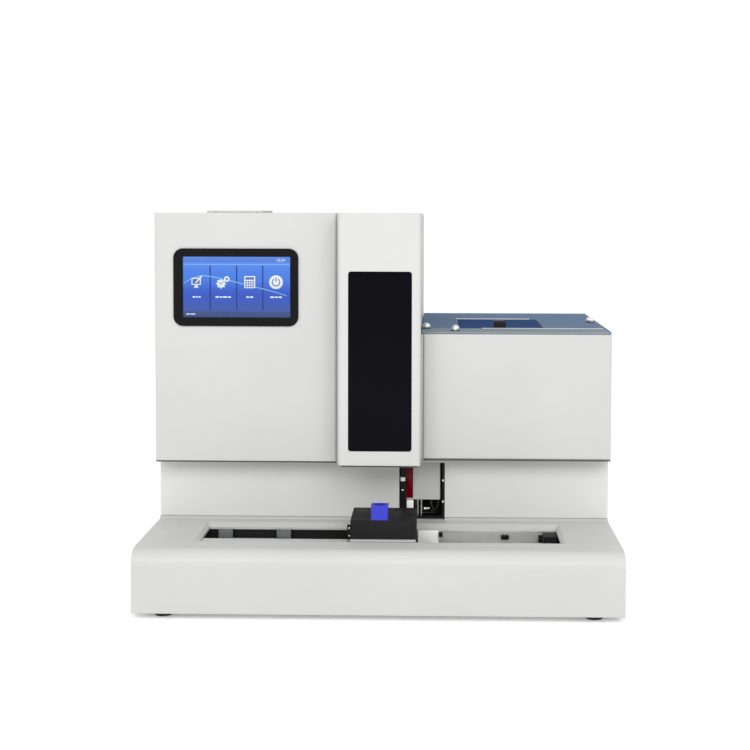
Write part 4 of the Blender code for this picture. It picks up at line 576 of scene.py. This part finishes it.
def make_icons(low, high, mm):
    width = high.x - low.x
    height = high.z - low.z
    back, front = SKIN, 2 * SKIN
    level = high.z - 0.415 * height
    centres = [low.x + share * width for share in (0.125, 0.375, 0.625, 0.872)]

    form = bmesh.new()
    x = centres[0]
    add_outline(form, rounded_outline(x - 0.0072, level - 0.0042, x + 0.0060, level + 0.0058, 0.0008), back,
                front, mm)
    add_outline(form, [(x - 0.0040, level - 0.0082), (x + 0.0028, level - 0.0082),
                       (x + 0.0012, level - 0.0046), (x - 0.0024, level - 0.0046)], back, front, mm)
    new_piece("icon_monitor", form, icon_white)
    form = bmesh.new()
    add_outline(form, rounded_outline(x - 0.0058, level - 0.0028, x + 0.0046, level + 0.0044, 0.0004), front,
                front + SKIN / 2, mm)
    new_piece("icon_monitor_glass", form, icon_dark)
    form = bmesh.new()
    add_outline(form, [(x - 0.0022, level - 0.0010), (x - 0.0006, level - 0.0022),
                       (x + 0.0082, level + 0.0078), (x + 0.0066, level + 0.0090)],
                front + SKIN / 2, front + SKIN, mm)
    new_piece("icon_pen", form, icon_white)

    form = bmesh.new()
    x = centres[1]
    add_outline(form, round_outline(x - 0.0030, level - 0.0024, 0.0056), back, front, mm)
    add_ring(form, x + 0.0052, level + 0.0042, 0.0040, 0.0020, back, front, mm)
    for turn in range(8):
        angle = math.tau * turn / 8
        add_outline(form, round_outline(x - 0.0030 + 0.0060 * math.cos(angle),
                                        level - 0.0024 + 0.0060 * math.sin(angle), 0.0011, 8),
                    back, front, mm)
    new_piece("icon_gear", form, icon_white)
    form = bmesh.new()
    add_outline(form, [(x - 0.0034, level - 0.0030), (x - 0.0024, level - 0.0030),
                       (x + 0.0008, level + 0.0004), (x, level + 0.0010)],
                front, front + SKIN / 2, mm)
    add_outline(form, [(x - 0.0060, level - 0.0006), (x - 0.0052, level),
                       (x - 0.0026, level - 0.0028), (x - 0.0034, level - 0.0034)],
                front, front + SKIN / 2, mm)
    new_piece("icon_gear_hand", form, icon_dark)

    form = bmesh.new()
    x = centres[2]
    add_outline(form, rounded_outline(x - 0.0078, level - 0.0086, x + 0.0078, level + 0.0086, 0.0007), back,
                front, mm)
    new_piece("icon_keypad", form, icon_white)
    form = bmesh.new()
    add_outline(form, rounded_outline(x - 0.0062, level + 0.0034, x + 0.0062, level + 0.0070, 0.0004), front,
                front + SKIN / 2, mm)
    for column in range(4):
        for row in range(3):
            left = x - 0.0062 + column * 0.0033
            bottom = level - 0.0072 + row * 0.0033
            add_outline(form, rounded_outline(left, bottom, left + 0.0023, bottom + 0.0023, 0.0003, 2), front,
                        front + SKIN / 2, mm)
    new_piece("icon_keypad_keys", form, icon_dark)

    form = bmesh.new()
    x = centres[3]
    add_outline(form, round_outline(x, level, 0.0098, 36), back, front, mm)
    new_piece("icon_power", form, icon_white)
    form = bmesh.new()
    add_ring(form, x, level, 0.0060, 0.0046, front, front + SKIN / 2, mm, start=120.0, sweep=300.0)
    add_outline(form, rounded_outline(x - 0.0008, level + 0.0008, x + 0.0008, level + 0.0072, 0.0007), front,
                front + SKIN / 2, mm)
    new_piece("icon_power_mark", form, icon_dark)


def make_labels(at, low, high):
    """Plain strokes under the icons and a clock, in place of words."""
    width = high.x - low.x
    height = high.z - low.z

    def mm(u, v, out):
        return Vector((u, low.y - out, v))

    form = bmesh.new()
    row = high.z - 0.665 * height
    strokes = ((0.125, (0.0040, 0.0026, 0.0030)), (0.375, (0.0052, 0.0034, 0.0060, 0.0044)),
               (0.625, (0.0042, 0.0048)), (0.872, (0.0060, 0.0040, 0.0048)))
    for share, lengths in strokes:
        total = sum(lengths) + 0.0010 * (len(lengths) - 1)
        left = low.x + share * width - total / 2
        for length in lengths:
            add_outline(form, rounded_outline(left, row - 0.0010, left + length, row + 0.0010, 0.0007, 3),
                        SKIN, 2 * SKIN, mm)
            left += length + 0.0010
    row = high.z - 0.952 * height
    for left, length in ((0.0040, 0.0050), (0.0100, 0.0070)):
        start = low.x + left
        add_outline(form, rounded_outline(start, row - 0.0008, start + length, row + 0.0008, 0.0006, 3),
                    SKIN, 2 * SKIN, mm)
    new_piece("screen_label_strokes", form, icon_white)

    clock = bpy.data.curves.new("screen_clock", 'FONT')
    clock.body = "10:24"
    clock.size = 0.0056
    clock.extrude = SKIN / 2
    words = bpy.data.objects.new("screen_clock_source", clock)
    bpy.context.scene.collection.objects.link(words)
    bpy.context.view_layer.update()
    mesh = bpy.data.meshes.new_from_object(words.evaluated_get(bpy.context.evaluated_depsgraph_get()))
    bpy.data.objects.remove(words)
    mesh.name = "screen_clock"
    spot = Vector((high.x - 0.0190, low.y - SKIN, high.z - 0.0060))
    mesh.transform(Matrix.Translation(spot) @ Matrix.Rotation(math.pi / 2, 4, 'X'))
    mesh.materials.clear()
    mesh.materials.append(icon_white.material)
    item = bpy.data.objects.new("screen_clock", mesh)
    bpy.context.scene.collection.objects.link(item)
    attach(item, "chassis")


# The scanner bay and rack channel
def make_scanner_bay():
    low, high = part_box("barcode_scanner")
    bay_low, bay_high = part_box("scanner_bracket")
    front = low.y
    form = bmesh.new()
    add_block(form, (low.x + 0.0004, front + 0.0003, low.z + 0.0023),
              (low.x + 0.0099, front + 0.0017, high.z - 0.0023), 0.0004)
    new_piece("scanner_red_window", form, red_glass)

    form = bmesh.new()
    add_block(form, (PLUG_X[0], front + 0.001, PLUG_Z[0]), (PLUG_X[1], front + 0.011, PLUG_Z[1]), 0.0006)
    add_block(form, (0.0352, front + 0.002, 0.1178), (0.0418, front + 0.010, low.z - 0.0002), 0.0004)
    new_piece("scanner_plug", form, white_plug_and_glint)

    form = bmesh.new()
    floor = bay_low.z + 0.003
    neck = low.z - floor
    for x in TUBE_PLACES:
        add_turned(form, (x, front + 0.0015, floor), (0, 0, 1),
                   ((0.0, 0.0), (TUBE_COLLAR, 0.0), (TUBE_COLLAR, 0.0012), (TUBE_RADIUS, 0.0018),
                    (TUBE_RADIUS, neck - 0.0022),
                    (TUBE_COLLAR, neck - 0.0016), (TUBE_COLLAR, neck - 0.0003), (0.0, neck - 0.0003)))
    new_piece("fluid_tubes", form, chrome)

    make_cable("scanner_lead", ((0.0455, front + 0.012, low.z - 0.0004), (0.0462, front + 0.010, 0.112),
                                (0.0490, front + 0.012, 0.100), (0.0640, front + 0.014, 0.0975),
                                (0.0800, front + 0.018, 0.0985), (0.0830, front + 0.030, 0.1010)), 0.0017,
               cable_black)
    make_cable("sensor_lead", ((0.0700, front + 0.006, low.z - 0.0004), (0.0698, front + 0.005, 0.112),
                               (0.0735, front + 0.006, 0.1030), (0.0765, front + 0.012, 0.0975),
                               (0.0700, front + 0.022, 0.0970)), 0.0014, cable_black)
    make_cable("pump_lead", ((0.0790, front + 0.009, low.z - 0.0004), (0.0800, front + 0.007, 0.1140),
                             (0.0772, front + 0.007, 0.1060), (0.0680, front + 0.009, 0.1010),
                             (0.0640, front + 0.020, 0.0972)), 0.0012, cable_black)
    form = bmesh.new()
    add_turned(form, (FERRULE_X, front + 0.004, FERRULE_Z), (1, 0, 0.12),
               ((0.0, 0.0), (0.0024, 0.0), (0.0028, 0.0006), (0.0028, 0.0042), (0.0020, 0.0048),
                (0.0020, 0.0085), (0.0014, 0.0092), (0.0, 0.0092)), steps=18)
    new_piece("cable_ferrule", form, nickel)

    form = bmesh.new()
    wall_front = bay_low.y
    for x, z in ((bay_low.x + 0.0032, 0.1335), (bay_high.x - 0.0019, 0.1480), (bay_high.x - 0.0019, 0.1170)):
        add_screw(form, (x, wall_front, z), (0, -1, 0), 0.0017)
    new_piece("bay_screws", form, nickel)
    form = bmesh.new()
    add_block(form, (bay_low.x + 0.0003, wall_front - 0.0008, REFLECTOR_Z[0]),
              (bay_low.x + 0.0068, wall_front, REFLECTOR_Z[1]), 0.0003)
    new_piece("bay_reflector", form, bright_sheet)


def make_channel_details():
    """Rack sensor, end bracket and stops that sit on the right and left trays."""
    low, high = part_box("tray_right")
    floor = low.z + 0.002
    back = high.y
    form = bmesh.new()
    add_block(form, (SENSOR_X[0], back - 0.0075, SENSOR_Z[0]),
              (SENSOR_X[1], back - 0.0022, SENSOR_Z[1]), 0.0005)
    new_piece("rack_sensor", form, black_satin)
    face = GUIDE_FACE - SKIN
    # The rear guide is a real steel strip drawn in near-white diffuse: its brightness is a painted
    # reflection.
    form = bmesh.new()
    add_block(form, (GUIDE_X[0], face - 0.0012, GUIDE_Z[0]), (GUIDE_X[1], face, GUIDE_Z[1]), 0.0004)
    new_piece("rack_guide_painted_reflection", form, bright_sheet)
    form = bmesh.new()
    for across, up in ((STOP_LEFT_X, STOP_LEFT_Z), (STOP_RIGHT_X, STOP_RIGHT_Z)):
        add_block(form, (across[0], face - STOP_DEPTH, up[0]), (across[1], face, up[1]), 0.0005)
    new_piece("rack_stops", form, black_satin)


def make_station_sill():
    """A plate over the slot's front lip, against the station's foot, in the paler cover copy: a painted
    lighter strip.
    """
    low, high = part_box("sampling_station")
    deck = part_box("base_cover")[1].z - PLINTH
    form = bmesh.new()
    add_block(form, (low.x + 0.0072, low.y - 0.0100, deck + SKIN),
              (high.x - 0.0005, low.y - SKIN, deck + 0.0014), 0.0004)
    new_piece("station_sill", form, housing_cover_painted_light)


def make_ear_screws():
    low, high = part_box("sampling_station")
    form = bmesh.new()
    for z in (high.z - 0.0200, high.z - 0.0310):
        add_screw(form, (low.x + 0.0030, low.y + 0.0412, z), (0, -1, 0), 0.0015)
    new_piece("station_ear_screws", form, nickel)


# Painted shadow strips and the tower's side filler
def make_seams():
    """Dark strips under the boxes' front edges, painted shadow where the boxes overhang, and a light filler
    beside the tower.
    """
    for name, node, body, inset in (("tower", "tower_front_panel", "chassis", 0.0005),
                                    ("strip", "strip_front_panel", "chassis", 0.0005),
                                    ("cover", "sampling_cover", "cover", 0.0040)):
        low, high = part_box(node)
        form = bmesh.new()
        add_block(form, (low.x + inset, low.y + 0.0005, low.z - SHADOW_STRIP_DROP),
                  (high.x - inset, low.y + 0.0030, low.z - SKIN), 0.0004)
        new_piece(f"{name}_painted_shadow_strip", form, painted_shadow_dark, body)
    low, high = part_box("strip_front_panel")
    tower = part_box("tower_shell")[1].x
    form = bmesh.new()
    add_block(form, (tower + SKIN, low.y + 0.0020, low.z + 0.0005),
              (low.x - SKIN, low.y + 0.0050, high.z - 0.0005), 0.0003)
    new_piece("tower_side_filler", form, housing_front)


# Rear and lid fittings
def make_lid_details():
    """A paler front band, painted glint lines on the lid in front of and behind the hatch, and dark side
    edges round the hatch.
    """
    low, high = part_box("top_lid")
    hatch_low, hatch_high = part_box("hopper_hatch")
    hatch_low.x += HATCH_PIN
    hatch_high.x -= HATCH_PIN
    top = high.z
    form = bmesh.new()
    add_block(form, (low.x + 0.0005, low.y + 0.0003, top + SKIN / 2),
              (high.x - 0.0035, hatch_low.y - 0.0008, top + SKIN))
    add_block(form, (low.x + 0.0030, low.y - SKIN, low.z + 0.0002),
              (high.x - 0.0035, low.y - SKIN / 2, top - 0.0002))
    new_piece("lid_front_band", form, lid_band)
    # White strips in front of and behind the hatch: painted glints along the acrylic's edges.
    form = bmesh.new()
    add_block(form, (hatch_low.x + 0.036, hatch_low.y - 0.0020, top + 1.5 * SKIN),
              (high.x - 0.0060, hatch_low.y - 0.0010, top + 0.0008))
    add_block(form, (hatch_low.x, hatch_high.y + 0.0016, top + SKIN / 2),
              (hatch_high.x - 0.0120, hatch_high.y + 0.0030, top + 0.0010))
    new_piece("lid_painted_glints", form, white_plug_and_glint)
    form = bmesh.new()
    for left in (hatch_low.x, hatch_high.x - EDGE_WIDTH):
        add_block(form, (left, hatch_low.y + 0.0005, top + SKIN / 2),
                  (left + EDGE_WIDTH, hatch_high.y - 0.0060, top + 0.0004))
    new_piece("hatch_dark_edges", form, black_satin, "hatch")


def make_screw_washers():
    """Dark washers under the lid's dome screws."""
    for number in (1, 2, 3):
        low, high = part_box(f"lid_screw_{number}")
        centre = (low + high) / 2
        form = bmesh.new()
        add_turned(form, (centre.x, centre.y, low.z + 0.00005), (0, 0, 1),
                   ((0.0046, 0.0), (0.0062, 0.0), (0.0064, 0.0003), (0.0061, 0.0009), (0.0046, 0.0009),
                    (0.0046, 0.0)), steps=28)
        new_piece(f"lid_washer_{number}", form, black_satin)


def make_rear_screws():
    low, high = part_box("rear_panel")
    tower_low, tower_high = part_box("tower_shell")
    strip_low, strip_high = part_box("strip_housing")
    back = high.y
    inset = 0.010
    middle = low.z + 0.085
    places = [(low.x + inset, z) for z in (low.z + inset, middle, 0.300, high.z - inset)]
    places += [(high.x - inset, z) for z in (low.z + inset, middle, strip_high.z - 0.016)]
    places += [(x, low.z + inset) for x in (-0.160, 0.0, 0.160)]
    places += [(x, high.z - inset) for x in (-0.190, tower_high.x - 0.016)]
    form = bmesh.new()
    for x, z in places:
        add_screw(form, (x, back - 0.0004, z), (0, 1, 0), 0.0032, 0.0013)
    new_piece("rear_screws", form, nickel)
    form = bmesh.new()
    low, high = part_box("fan_frame")
    for x in (low.x + 0.0045, high.x - 0.0045):
        for z in (low.z + 0.0045, high.z - 0.0045):
            add_screw(form, (x, back - 0.0004, z), (0, 1, 0), 0.0026, 0.0012)
    new_piece("fan_screws", form, nickel)


def make_rear_ports():
    """Four data sockets beside the mains inlet, with plain rims."""
    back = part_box("rear_panel")[1].y
    inlet_low, inlet_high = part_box("power_inlet")
    middle = (inlet_low.z + inlet_high.z) / 2
    rims = bmesh.new()
    wells = bmesh.new()
    right = inlet_low.x - 0.030
    for width, height in PORT_SIZES:
        low = Vector((right - width, back - 0.0004, middle - height / 2))
        high = Vector((right, back + 0.0006, middle + height / 2))
        add_block(rims, low, (low.x + RIM, high.y, high.z), 0.0002)
        add_block(rims, (high.x - RIM, low.y, low.z), high, 0.0002)
        add_block(rims, (low.x + RIM, low.y, low.z), (high.x - RIM, high.y, low.z + RIM), 0.0002)
        add_block(rims, (low.x + RIM, low.y, high.z - RIM), (high.x - RIM, high.y, high.z), 0.0002)
        add_block(wells, (low.x + RIM, low.y, low.z + RIM), (high.x - RIM, low.y + SKIN, high.z - RIM))
        right = low.x - PORT_SPACE
    new_piece("port_rims", rims, nickel)
    new_piece("port_wells", wells, black_satin)


make_camera()
make_lights()
make_floor()
paint_nodes()
make_screen()
make_scanner_bay()
make_channel_details()
make_station_sill()
make_ear_screws()
make_seams()
make_lid_details()
make_screw_washers()
make_rear_screws()
make_rear_ports()
